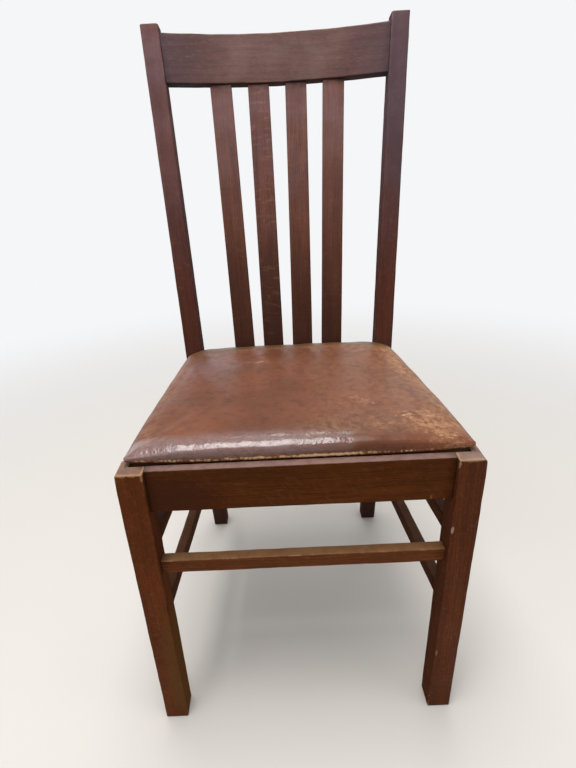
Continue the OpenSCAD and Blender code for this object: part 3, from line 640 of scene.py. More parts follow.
def newGroup(name, inputs, outputs):
    tree = bpy.data.node_groups.new(name, "ShaderNodeTree")
    for label, kind, value in inputs:
        socket = tree.interface.new_socket(name=label, in_out="INPUT", socket_type=kind)
        if value is not None:
            socket.default_value = value
    for label in outputs:
        tree.interface.new_socket(name=label, in_out="OUTPUT", socket_type="NodeSocketFloat")
    return tree, put(tree, "NodeGroupInput").outputs, put(tree, "NodeGroupOutput")


def useGroup(tree, group, **values):
    return put(tree, "ShaderNodeGroup", values, node_tree=group).outputs


def newMaterial(name, preview):
    material = bpy.data.materials.new(name)
    material.use_nodes = True
    material.diffuse_color = rgb(preview)
    tree = material.node_tree
    tree.nodes.clear()
    shader = put(tree, "ShaderNodeBsdfPrincipled")
    put(tree, "ShaderNodeOutputMaterial", {"Surface": shader.outputs[0]})
    return material, tree, shader


def finishWith(material, pieces):
    for piece in pieces:
        piece.data.materials.clear()
        piece.data.materials.append(material)


# Oak's figure: growth rings, fibres, open pores and ray flecks, in the member's own grain coordinates

oakGrain = {"ringPitch": 0.0031, "sway": 0.012, "fibres": (14, 620, 620), "bands": (2.5, 70, 70),
            "pores": (110, 2300, 2300), "rays": (170, 38, 300), "raySlant": 0.7}


def makeOakFigure():
    tree, given, result = newGroup(
        "oakFigure", [("Coord", "NodeSocketVector", None), ("Lean", "NodeSocketFloat", 0.4)],
        ["Streak", "Pore", "Fleck"])
    sway = vectorCalc("SUBTRACT", noise(scaled(given["Coord"], (5, 22, 22)), 1, 2, 0.5, 1), (0.5, 0.5, 0.5))
    coord = vectorCalc("ADD", given["Coord"], scaled(sway, (0, oakGrain["sway"], oakGrain["sway"])))
    run, a, b = split(coord)
    cosine, sine = calc("COSINE", given["Lean"]), calc("SINE", given["Lean"])
    radial, around = add(mul(a, cosine), mul(b, sine)), sub(mul(b, cosine), mul(a, sine))
    ring = calc("FRACT", mul(radial, 1 / oakGrain["ringPitch"]))
    early = between(calc("ABSOLUTE", sub(ring, 0.5)), 0.18, 0.5)
    fibre = noise(scaled(coord, oakGrain["fibres"]), 1, 3, 0.6)
    broad = noise(scaled(coord, oakGrain["bands"]), 1, 2, 0.55)
    streak = sub(add(mul(fibre, 0.5), mul(broad, 0.5)), mul(early, 0.07))
    dots = noise(scaled(coord, oakGrain["pores"]), 1, 1, 0.5)
    slanted = add(run, mul(b, oakGrain["raySlant"]))
    sheet = put(tree, "ShaderNodeCombineXYZ", {0: slanted, 1: radial, 2: around}).outputs[0]
    feedNode(result, {
        "Streak": between(streak, 0.2, 0.74), "Pore": between(add(dots, mul(early, 0.05)), 0.6, 0.7),
        "Fleck": between(noise(scaled(sheet, oakGrain["rays"]), 1, 2, 0.5), 0.52, 0.72)})
    return tree


# Where edges are rubbed pale, where dirt has gathered near joints, how far a face looks up, down or aside:
# faces that look up take dust and painted sheen, faces that look down or aside painted shade

oakEdges = {"dirtReach": 0.014, "seamReach": 0.0018, "seamFrom": 0.0003, "leastRub": 0.00005}


def makeOakWear():
    tree, given, result = newGroup(
        "oakWear", [("Coord", "NodeSocketVector", None), ("Reach", "NodeSocketFloat", 0.002)],
        ["Rubbed", "Grime", "Scratch", "DustAndSheen", "Under", "Aside"])
    toRim, toEnd, toJoint = split(attribute(tree, "rim", "Vector"))
    rub = attribute(tree, "rub")
    coarse, fine = noise(given["Coord"], 70, 3, 0.65), noise(given["Coord"], 520, 3, 0.7)
    ragged = add(mul(coarse, 0.7), mul(fine, 0.3))
    allowed = mul(given["Reach"], mul(rub, between(ragged, 0.34, 0.68, 0.1, 2.6)))
    far = calc("DIVIDE", calc("MINIMUM", toRim, toEnd), add(allowed, oakEdges["leastRub"]))
    dirt = mul(between(toJoint, oakEdges["dirtReach"], 0.0), between(coarse, 0.3, 0.7, 0.2, 1.0))
    lines = noise(scaled(given["Coord"], (40, 900, 260)), 1, 2, 0.7)
    patch = noise(given["Coord"], 16, 1, 0.5)
    across, _, up = facing(tree)
    feedNode(result, {
        "Rubbed": mul(between(far, 1.5, 0.25), between(rub, 0.05, 0.6)),
        "Grime": most(mul(dirt, 0.7), between(toJoint, oakEdges["seamReach"], oakEdges["seamFrom"])),
        "Scratch": mul(between(lines, 0.7, 0.76), between(patch, 0.52, 0.66)),
        "DustAndSheen": mul(between(up, 0.4, 0.9), between(ragged, 0.3, 0.62, 0.55, 1.0)),
        "Under": between(up, -0.15, -0.7), "Aside": between(calc("ABSOLUTE", across), 0.6, 0.9)})
    return tree


def spot(where, centre, reach):
    # A patch about a point, by how far away it is on each axis, with a broken edge
    away = vectorCalc("SUBTRACT", where, tuple(toFrame(np.array(centre))))
    far = vectorCalc("LENGTH", scaled(away, tuple(1 / r for r in reach)), out="Value")
    return between(add(far, noise(where, 420, 2, 0.6)), 1.5, 1.1)


oakFigure, oakWear = makeOakFigure(), makeOakWear()

# The pale clouding that grows with height and fades to the sides is painted sheen, in part also the old
# varnish's own whitening, and deep is painted shade, a darkening between two heights towards the floor. Marks
# are knocks,
# stains and tints: place, reach, colour and cover. The grey-lilac tints on the right post's top and the
# crest's ends are painted sheen, and the front rail's large dark one makes the rail darker towards its left
# end.
plainOak = {
    "rubbed": "8f6b54", "lean": 0.8, "fleck": 0.2, "reach": 0.0010, "gloss": 0.5, "specular": 0.06,
    # dust and its tint pale the faces that look up, as dust and painted sheen
    "paintedSheen": 0.0, "sheenHaze": "94818c", "sheenHazeReach": 0.2, "sheenHazeEnds": 1.0, "dust": 1.0, "dustAndSheenTint": "8d7468",
    "deep": 0.0, "shadeHeights": (0.82, 0.38), "aside": 0.0, "marks": [], "knot": "a07a5c", "pore": "1c0c06",
    # low is the colour of the painted shade towards the floor, shade that of the painted shade on faces that
    # look down or aside
    "low": "260f07", "raw": ("7d5c3d", "a98761"), "scratch": "a58469", "grime": "120804", "shade": "1c0d07"}
oakLooks = {
    "oakLegLeft": {"dark": "431e06", "light": "67320e", "rubbed": "9c7b5a", "lean": 0.5, "reach": 0.0013,
                   "dustAndSheenTint": "927a6e", "aside": 0.15,
                   "marks": [((-0.2204, 0, 0.3187), (0.0015, 0.01, 0.004), "a07a58", 0.75),
                             ((-0.1850, 0.020, 0.1000), (0.0240, 0.05, 0.1500), "573611", 0.75)]},
    "oakLegRight": {"dark": "3f1d0c", "light": "643315", "rubbed": "a08065", "reach": 0.0013,
                    "dustAndSheenTint": "9c867a", "aside": 0.15,
                    "marks": [((0.1850, 0, 0.3435), (0.0022, 0.008, 0.0070), "a08a76", 0.75),
                              ((0.1860, 0, 0.1200), (0.0020, 0.008, 0.0060), "8a6248", 0.75)]},
    "oakFrontRail": {"dark": "3c1d05", "light": "63310a", "rubbed": "7d6250", "lean": 1.2, "fleck": 0.15,
                     "reach": 0.0004, "specular": 0.05, "dust": 0.95, "dustAndSheenTint": "9a807a",
                     "marks": [((-0.1850, 0.007, 0.4000), (0.1100, 0.008, 0.0450), "371908", 0.75),
                               ((0.1564, 0.007, 0.3900), (0.0018, 0.01, 0.0045), "6e4c22", 0.75),
                               ((-0.0715, 0.007, 0.4216), (0.0110, 0.01, 0.0007), "5c3c22", 0.75),
                               ((-0.0247, 0.007, 0.4104), (0.0080, 0.01, 0.0008), "5c3c22", 0.75)]},
    "oakPosts": {"dark": "3a1c15", "light": "5d3122", "rubbed": "8d7160", "lean": 0.6, "reach": 0.0011,
                 "gloss": 0.42, "specular": 0.1, "paintedSheen": 0.55, "sheenHazeEnds": 0.9, "dust": 0.4, "deep": 0.65,
                 "shadeHeights": (0.7, 0.2), "aside": 0.2,
                 # a grey-lilac tint near the right post's top: painted sheen
                 "marks": [((0.2050, 0.4900, 0.9300), (0.0500, 0.1500, 0.3200), "3c3d4a", 0.3)]},
    "oakCrest": {"dark": "3c2222", "light": "5e3835", "rubbed": "8d7466", "lean": 0.3, "fleck": 0.3,
                 "reach": 0.0012, "gloss": 0.4, "specular": 0.14, "paintedSheen": 0.5, "sheenHaze": "9c8478",
                 "sheenHazeEnds": 0.15, "dust": 0.5, "aside": 0.2,
                 # grey-lilac tints towards the crest's ends: painted sheen
                 "marks": [((-0.3000, 0.4800, 0.9050), (0.2000, 0.3000, 0.3000), "413c48", 0.3),
                           ((0.3000, 0.4800, 0.9050), (0.2000, 0.3000, 0.3000), "413c48", 0.3)]},
    "oakSlats": {"dark": "452316", "light": "72432c", "lean": 0.1, "gloss": 0.42, "specular": 0.12,
                 "paintedSheen": 0.55, "dust": 0.4, "deep": 0.8, "shadeHeights": (0.85, 0.36), "aside": 0.2},
    "oakQuartered": {"dark": "40221a", "light": "6e402e", "lean": 0.0, "fleck": 0.75, "gloss": 0.42,
                     "specular": 0.12, "paintedSheen": 0.45, "dust": 0.4, "deep": 0.9, "aside": 0.2},
    "oakFrontStretcher": {"dark": "48250d", "light": "723d1b", "rubbed": "a9825f", "reach": 0.0005,
                          "dustAndSheenTint": "9c7854"},
    "oakUnderframe": {"dark": "3f2212", "light": "6a3f24", "rubbed": "8a6a4c", "reach": 0.0009, "dust": 0.25,
                      "deep": 0.3, "shadeHeights": (0.62, 0.1), "dustAndSheenTint": "8a6a50", "aside": 0.1}}


def makeOak(name):
    look = plainOak | oakLooks[name]
    material, tree, shader = newMaterial(name, look["light"])
    coord = attribute(tree, "grain", "Vector")
    figure = useGroup(tree, oakFigure, Coord=coord, Lean=look["lean"])
    wear = useGroup(tree, oakWear, Coord=coord, Reach=look["reach"])
    where = objectPlace(tree)
    across, _, high = split(where)
    streak, pore = figure["Streak"], figure["Pore"]
    tint = blended(between(streak, 0, 1, 0.1, 0.9), look["dark"], look["light"])
    tint = blended(between(noise(where, 9, 3, 0.55), 0.3, 0.72, 0.0, 0.5), tint, look["dark"])
    tint = blended(mul(figure["Fleck"], 0.5 * look["fleck"]), tint, blended(0.55, tint, look["knot"]))
    tint = blended(mul(pore, 0.5), tint, look["pore"])
    # Painted sheen: a pale lilac-grey clouding that grows with height and fades to the sides, in part also the
    # old varnish's own whitening
    if look["paintedSheen"]:
        sheenHaze = mul(between(high, 0.5, 0.98), between(noise(where, 22, 3, 0.6), 0.3, 0.75, 0.5, 1.0))
        sheenHaze = mul(sheenHaze, between(calc("ABSOLUTE", across), look["sheenHazeReach"], 0.04, look["sheenHazeEnds"], 1))
        tint = blended(mul(sheenHaze, 0.5 * look["paintedSheen"]), tint, look["sheenHaze"])
    # Painted shade: darker between two heights, towards the floor
    if look["deep"]:
        tint = blended(between(high, *look["shadeHeights"], 0, look["deep"]), tint, look["low"])
    # Faces that look up paler, dust with painted sheen; faces that look down or aside darker, painted shade
    tint = layered(tint, [
        (mul(attribute(tree, "bare"), 0.85), blended(streak, *look["raw"])),
        (mul(wear["DustAndSheen"], 0.6 * look["dust"]), look["dustAndSheenTint"]),
        (mul(wear["Rubbed"], 0.8), look["rubbed"]),
        (mul(wear["Scratch"], 0.3), look["scratch"]),
        (mul(wear["Grime"], 0.8), look["grime"]),
        (most(mul(wear["Under"], 0.75), mul(wear["Aside"], look["aside"])), look["shade"])])
    tint = layered(tint, [(mul(spot(where, centre, reach), cover), colour)
                          for centre, reach, colour, cover in look["marks"]])
    rough = add(look["gloss"], between(noise(where, 45, 2, 0.6), 0.3, 0.7, -0.06, 0.1))
    rough = add(rough, mul(wear["Rubbed"], 0.2))
    rough = add(rough, mul(most(wear["Under"], wear["Aside"]), 0.45))
    height = sub(sub(mul(streak, 0.15), pore), mul(wear["Scratch"], 0.5))
    feedNode(shader, {
        "Base Color": tint, "Roughness": add(rough, mul(pore, 0.15), clamp=True),
        "Specular IOR Level": look["specular"], "Normal": bumped(height, 0.35, 0.0004)})
    return material


for name, pieces in {
        "oakLegLeft": legs[:1], "oakLegRight": legs[1:], "oakFrontRail": [frontRail], "oakPosts": posts,
        "oakCrest": [crestRail], "oakSlats": [slats[0], slats[2], slats[3]], "oakQuartered": [slats[1]],
        "oakFrontStretcher": [frontStretcher], "oakUnderframe": otherStretchers + otherRails}.items():
    finishWith(makeOak(name), pieces)
print("oak finished")


# Slip seat: the outline inside the rebate, and the cover's rings, as the part's source has them

slipSeat = {
    "gap": 0.001, "leather": 0.0014, "turnUnder": 0.025, "rise": 0.030, "sideBulge": 0.006,
    "frontBulge": 0.0021, "frontCorner": 0.006, "rearCorner": 0.028, "restGap": 0.0003, "dip": 0.006,
    "dipReach": 0.050, "rearDip": 0.5, "edgeLift": 0.0034, "foldRound": 0.0018}
slipSeat["underside"] = chair["rebateFloor"] + slipSeat["restGap"]
slipSeat["midY"] = (chair["wellFront"] + seatDeep) / 2
slipSeat["halfX"] = wellX(slipSeat["midY"])
slipSeat["halfY"] = (seatDeep - chair["wellFront"]) / 2
# Size, bulge and height of the cover from its wall to near its middle, as shares: the roll hangs nearly down
# to the rail
coverShares = np.array([
    [1, 0, 0.0], [1, 0.08, 0.03], [1, 0.55, 0.06], [1, 0.93, 0.11], [1, 1.04, 0.2], [1, 1.04, 0.34],
    [1, 0.92, 0.44], [1, 0.66, 0.535], [0.992, 0.3, 0.635], [0.975, 0.1, 0.705], [0.95, 0, 0.765],
    [0.9, 0, 0.815], [0.8, 0, 0.872], [0.6, 0, 0.94], [0.35, 0, 0.985], [0.1, 0, 0.999]])


def seatOutline(inset, arcSteps=10, sideSteps=84, crossSteps=96):
    # Four corner arcs joined by straight sides, from the right front corner round to the left one
    tilt = math.atan(chair["sideSlope"])

    def arc(y0, d, r, side, start, stop):
        q = max(r - inset, 0.0025) + inset
        y = y0 + d * q
        angle = np.linspace(start, stop, arcSteps + 1)
        return np.stack([side * (wellX(y) - q * slant) + (q - inset) * np.cos(angle),
                         y + (q - inset) * np.sin(angle)], axis=-1)

    def edge(p, q, n):
        return p + (q - p) * (np.arange(1, n) / n)[:, None]

    front, rear = (chair["wellFront"], 1, slipSeat["frontCorner"]), (seatDeep, -1, slipSeat["rearCorner"])
    fr = arc(*front, 1, -math.pi / 2, tilt)
    br = arc(*rear, 1, tilt, math.pi / 2)
    bl = arc(*rear, -1, math.pi / 2, math.pi - tilt)
    fl = arc(*front, -1, math.pi - tilt, 1.5 * math.pi)
    return np.concatenate([fr, edge(fr[-1], br[0], sideSteps), br, edge(br[-1], bl[0], crossSteps), bl,
                           edge(bl[-1], fl[0], sideSteps), fl, edge(fl[-1], fr[0], crossSteps)])


def smoothRows(keys, steps):
    # Catmull-Rom curves through the rows of keys
    padded = np.concatenate([2 * keys[:1] - keys[1:2], keys, 2 * keys[-1:] - keys[-2:-1]])
    t = (np.arange(steps) / steps)[None, :, None]
    p0, p1, p2, p3 = (padded[i:len(padded) - 3 + i, None] for i in range(4))
    rows = 0.5 * (2 * p1 + (p2 - p0) * t + (2 * p0 - 5 * p1 + 4 * p2 - p3) * t ** 2
                  + (3 * p1 - p0 - 3 * p2 + p3) * t ** 3)
    return np.concatenate([rows.reshape(-1, keys.shape[1]), keys[-1:]])


def cornerNear(x, y, wellY=chair["wellFront"]):
    # From 0 to 1 towards the nearest of two corners of the seat's well, the front ones unless wellY says else
    far = np.hypot(np.abs(x) - wellX(wellY), y - wellY)
    return np.exp(-(far / slipSeat["dipReach"]) ** 2)


def seatRings(outline, rows):
    # The outline scaled about the middle by a row's size, pushed out by its bulge, at its height, and drawn
    # down at the corners. At the front ones the roll's lower edge hangs a little higher.
    size, bulge, high = rows[:, 0, None], rows[:, 1, None], rows[:, 2, None]
    x = outline[None, :, 0] * (size + bulge * slipSeat["sideBulge"] / slipSeat["halfX"])
    y = slipSeat["midY"] + (outline[None, :, 1] - slipSeat["midY"]) * (
        size + bulge * slipSeat["frontBulge"] / slipSeat["halfY"])
    near = cornerNear(x, y)
    lifted = slipSeat["edgeLift"] * near * ramp(high, 0.0, 0.05) * (1 - ramp(high, 0.08, 0.4))
    drawn = near + slipSeat["rearDip"] * cornerNear(x, y, seatDeep)
    z = seatHigh + slipSeat["rise"] * high - slipSeat["dip"] * drawn * np.clip((high - 0.24) / 0.39, 0, 1)
    return np.stack([x, y, z + lifted], axis=-1)


def flatRing(inset, z):
    ring = seatRings(seatOutline(inset), np.array([[1.0, 0, 0]]))[0]
    ring[:, 2] = z
    return ring


def ringFaces(m, n, poles=(True, False)):
    # Quads between m rings of n points, and fans to the points that follow them: one before the first ring,
    # and one after the last
    i, k = np.meshgrid(np.arange(m - 1), np.arange(n), indexing="ij")
    nextK = (k + 1) % n
    quads = np.stack([i * n + k, (i + 1) * n + k, (i + 1) * n + nextK, i * n + nextK], axis=-1)
    faces = quads.reshape(-1, 4).tolist()
    k, nextK = np.arange(n), (np.arange(n) + 1) % n
    if poles[0]:
        faces += np.stack([np.full(n, n * m), k, nextK], -1).tolist()
    if poles[1]:
        faces += np.stack([np.full(n, n * m + 1), (m - 1) * n + nextK, (m - 1) * n + k], -1).tolist()
    return faces


def meshPoints(mesh, field="co"):
    flat = np.empty(len(mesh.vertices) * 3)
    mesh.vertices.foreach_get(field, flat)
    return flat.reshape(-1, 3)


def finalMesh(piece):
    return bpy.data.meshes.new_from_object(piece.evaluated_get(bpy.context.evaluated_depsgraph_get()))


clothSettings = {"voxel": 0.005, "pressure": 4.0, "frames": 20, "cap": 0.0020, "inward": 0.0005,
                 "start": 0.985, "quality": 6, "mass": 0.4, "stretch": 40, "shear": 20, "bending": 3,
                 "wallTop": 0.004, "freeFrom": 0.003, "freeAt": 0.009, "cornerHold": 0.85}


def capped(travel):
    far = np.linalg.norm(travel, axis=1, keepdims=True)
    return travel * np.minimum(1, clothSettings["cap"] / np.maximum(far, 1e-9))


def inflatedPad():
    # The pad as cloth under pressure, held along its wall: the leather's real tension lines come from it
    rows = smoothRows(coverShares, 3)
    rows[:, 2] *= clothSettings["start"]
    outline = seatOutline(slipSeat["gap"], 5, 24, 28)
    rings = np.concatenate([seatRings(outline, rows[::-1]), seatRings(outline, np.array([[1.0, 0, 0]]))])
    rings[-1, :, 2] = slipSeat["underside"]
    poles = [[0, slipSeat["midY"], rings[0, 0, 2] + 0.0001], [0, slipSeat["midY"], slipSeat["underside"]]]
    points = toFrame(np.concatenate([rings.reshape(-1, 3), poles]))
    pad = makeObject("padForm", points, ringFaces(*rings.shape[:2], (True, True)))
    even = pad.modifiers.new("even", "REMESH")
    even.mode, even.voxel_size = "VOXEL", clothSettings["voxel"]
    held = finalMesh(pad)
    pad.modifiers.clear()
    pad.data = held
    place = meshPoints(held)
    pinned = pad.vertex_groups.new(name="wall")
    pinned.add(np.flatnonzero(place[:, 2] < seatHigh + clothSettings["wallTop"]).tolist(), 1.0, "REPLACE")
    cloth = pad.modifiers.new("cloth", "CLOTH")
    settings = cloth.settings
    settings.quality, settings.mass = clothSettings["quality"], clothSettings["mass"]
    settings.tension_stiffness = settings.compression_stiffness = clothSettings["stretch"]
    settings.shear_stiffness, settings.bending_stiffness = clothSettings["shear"], clothSettings["bending"]
    settings.use_pressure = True
    settings.uniform_pressure_force = clothSettings["pressure"]
    settings.vertex_group_mass = "wall"
    settings.effector_weights.gravity = 0
    cloth.collision_settings.use_collision = False
    cloth.point_cache.frame_start, cloth.point_cache.frame_end = 1, clothSettings["frames"]
    for number in range(1, clothSettings["frames"] + 1):
        bpy.context.scene.frame_set(number)
    blown = finalMesh(pad)
    travel = meshPoints(blown) - place
    far = float(np.linalg.norm(travel, axis=1).max())
    print("pad cloth:", len(place), "points, most travel", round(far * 1000, 2), "mm")
    pad.modifiers.clear()
    pad.data = blown
    blown.vertices.foreach_set("co", (place + capped(travel)).ravel())
    even = pad.modifiers.new("settle", "SMOOTH")
    even.factor, even.iterations = 0.5, 4
    bpy.context.scene.frame_set(1)
    return pad


def drawOver(points, faces):
    # The grid's points drawn onto the inflated form by no more than the cap, little near the front corners
    # and not at all on the wall
    cover = makeObject("wrapForm", points, faces)
    form = inflatedPad()
    wrap = cover.modifiers.new("wrap", "SHRINKWRAP")
    wrap.target, wrap.wrap_method = form, "NEAREST_SURFACEPOINT"
    normal = meshPoints(cover.data, field="normal")
    travel = capped(meshPoints(finalMesh(cover)) - points)
    bpy.data.objects.remove(form)
    bpy.data.objects.remove(cover)
    inward = np.minimum(0, (travel * normal).sum(1, keepdims=True) + clothSettings["inward"])
    travel -= normal * inward
    held = 1 - clothSettings["cornerHold"] * cornerNear(points[:, 0], points[:, 1] - frontShift)
    free = ramp(points[:, 2], seatHigh + clothSettings["freeFrom"], seatHigh + clothSettings["freeAt"])
    return points + travel * (free * held)[:, None]


# How strongly the roll's lower edge is worn along the front, from left to right
lipWear = np.array([[-0.205, -0.165, -0.125, -0.07, -0.01, 0.035, 0.08, 0.12, 0.165, 0.205],
                    [0.45, 0.3, 0.55, 0.5, 0.75, 1.0, 0.6, 0.3, 0.25, 0.5]])

# Worn places of the leather, as x, y, reach on each and strength
leatherScuffs = np.array([
    [0.165, 0.048, 0.026, 0.042, 1.0], [0.162, 0.249, 0.015, 0.055, 0.9], [0.092, 0.104, 0.024, 0.012, 0.75],
    [0.080, 0.118, 0.018, 0.010, 0.6], [0.166, 0.190, 0.012, 0.060, 0.6], [0.187, 0.010, 0.020, 0.022, 0.9],
    [-0.060, 0.256, 0.024, 0.006, 0.9], [0.120, 0.300, 0.050, 0.014, 0.7], [-0.090, 0.318, 0.070, 0.010, 0.6],
    [0.020, 0.322, 0.080, 0.008, 0.6], [-0.186, 0.030, 0.012, 0.020, 0.35],
    [0.120, 0.060, 0.030, 0.030, 0.5]])


# The cover's own unevenness: where the stuffing has settled, how deep its lumps, puckers and folds are, and
# where the polished roll and the worn lower edge run, as heights above the rails
leatherForm = {
    "hollow": 0.0008, "hollowAt": (0.03, 0.2), "hollowReach": (0.09, 0.08), "lumps": (0.0004, 0.0003),
    "rollHigh": 0.018, "rollReach": 0.008, "rollEnds": (0.055, 0.072), "pucker": 0.00035,
    "fold": 0.0006, "foldAngles": (0.45, 1.15), "foldReach": 0.1, "lipHigh": 0.0043, "lipReach": 0.0022,
    # Where the painted sheen lies, and where painted shade starts, in the rebate and at the back edge
    "paintedSheenAt": (-0.125, 0.255), "paintedSheenReach": (0.05, 0.055), "sideHigh": 0.019, "sideReach": (0.004, 0.005),
    "shadeFrom": (-0.0034, -0.0016), "backShadeFrom": (0.296, 0.346)}


def bell(x, y, middle, reach):
    return np.exp(-((x - middle[0]) / reach[0]) ** 2 - ((y - middle[1]) / reach[1]) ** 2)


def coverMasks(x, y, z, roll):
    # Where the leather's lower edge is torn, its sides and top are scuffed, it is polished, and where it takes
    # a painted sheen (back left, front-left roll) and painted shade (in the rebate, along its back edge)
    form = leatherForm
    high, along = z - seatHigh, x + 0.25
    front, right = ramp(-y, -0.05, -0.025), ramp(x, -0.05, 0.05)
    low = high - form["lipHigh"] - 0.8 * slipSeat["edgeLift"] * cornerNear(x, y)
    lip = np.exp(-((low - 0.0004) / (form["lipReach"] + 0.0005 * wander(along / 0.2, 9))) ** 2)
    torn = np.interp(x, *lipWear) + 0.18 * wander(along / 0.12, 8)
    sideReach = form["sideReach"][0] + form["sideReach"][1] * right
    side = np.exp(-((high - form["sideHigh"]) / sideReach) ** 2) * (1 - front)
    away = (np.stack([x, y], -1)[:, None] - leatherScuffs[:, :2]) / leatherScuffs[:, 2:4]
    # Painted sheen: a pale lilac-grey patch at the back left, and along the front-left roll
    paintedSheen = bell(x, y, form["paintedSheenAt"], form["paintedSheenReach"])
    paintedSheen += ramp(-y, -0.055, -0.03) * ramp(high, 0.005, 0.009) * ramp(-x, -0.08, 0.03)
    # shade and back: painted shade, in the rebate and along the back edge by the slats
    return {
        "lip": lip * front * np.clip(torn, 0.1, 1.1),
        "side": side * ramp(-y, -0.345, -0.31) * (0.5 + 0.5 * right),
        "scuff": np.minimum(1, (np.exp(-(away ** 2).sum(-1)) * leatherScuffs[:, 4]).sum(-1)), "paintedSheen": paintedSheen,
        "roll": roll * (1 - 0.85 * ramp(x, *form["rollEnds"])), "shade": 1 - ramp(low, *form["shadeFrom"]),
        "back": ramp(y, *form["backShadeFrom"])}


def makeLeatherCover():
    rows = smoothRows(coverShares, 6)
    top = seatRings(seatOutline(slipSeat["gap"]), rows[::-1])
    gap, bend, form = slipSeat["gap"], slipSeat["foldRound"], leatherForm
    wall = [flatRing(gap + bend * (1 - math.cos(a)), slipSeat["underside"] + bend * (1 - math.sin(a)))
            for a in np.radians(np.linspace(0, 90, 5))]
    under = [flatRing(inset, slipSeat["underside"])
             for inset in np.linspace(gap + 2 * bend, gap + slipSeat["turnUnder"], 8)]
    rings = np.concatenate([top, np.array(wall), np.array(under)])
    m, n = rings.shape[:2]
    pole = [[0, slipSeat["midY"], seatHigh + slipSeat["rise"]]]
    points = toFrame(np.concatenate([rings.reshape(-1, 3), pole]))
    faces = ringFaces(m, n)
    points = drawOver(points, faces)
    # Hollows where the stuffing has settled, puckers along the roll, and two small folds at each front corner
    x, y, z = points[:, 0], points[:, 1] - frontShift, points[:, 2]
    high = z - seatHigh
    lumps = form["lumps"][0] * np.sin(x * 71 + 1.3) * np.sin(y * 63 + 0.4)
    lumps += form["lumps"][1] * np.sin(x * 137 + y * 96) - form["hollow"] * bell(
        x, y, form["hollowAt"], form["hollowReach"])
    roll = np.exp(-((high - form["rollHigh"]) / form["rollReach"]) ** 2) * ramp(-y, -0.06, -0.03)
    angle = np.arctan2(np.abs(x) - wellX(0.03) + 0.005, 0.025 - y)
    folds = sum(np.exp(-((angle - middle) / form["foldReach"]) ** 2) for middle in form["foldAngles"])
    folds *= form["fold"] * cornerNear(x, y) ** 3 * ramp(high, 0.002, 0.005) * (1 - ramp(high, 0.01, 0.015))
    points[:, 2] += ramp(high, 0.004, 0.02) * lumps + form["pucker"] * roll * wander((x + 0.25) / 0.16, 5)
    points[:, 0] -= np.sign(x) * folds
    points[:, 1] += folds
    cover = makeObject("leatherCover", points, faces, numbers=coverMasks(x, y, z, roll))
    thicken(cover, slipSeat["leather"])
    standFor(cover, "leather_cover", "slip_seat")
    return cover, points, m, n


leatherCover, coverPoints, coverRings, coverColumns = makeLeatherCover()
print("leather cover made")

# The near-black in the rebate and the olive grey at the back edge are painted shade, the lilac grey a painted
# sheen
leatherLook = {
    "deep": "592d12", "light": "6d391c", "dark": "34170a", "tan": "aa7f58", "pink": "965f42",
    "scratch": "c79d80", "lipTan": "cba97c", "paintedShade": "24110a", "back": "55432c", "paintedSheen": "7a6263",
    "gloss": 0.38, "rollGloss": 0.2, "specular": 0.32, "coat": 1.0}


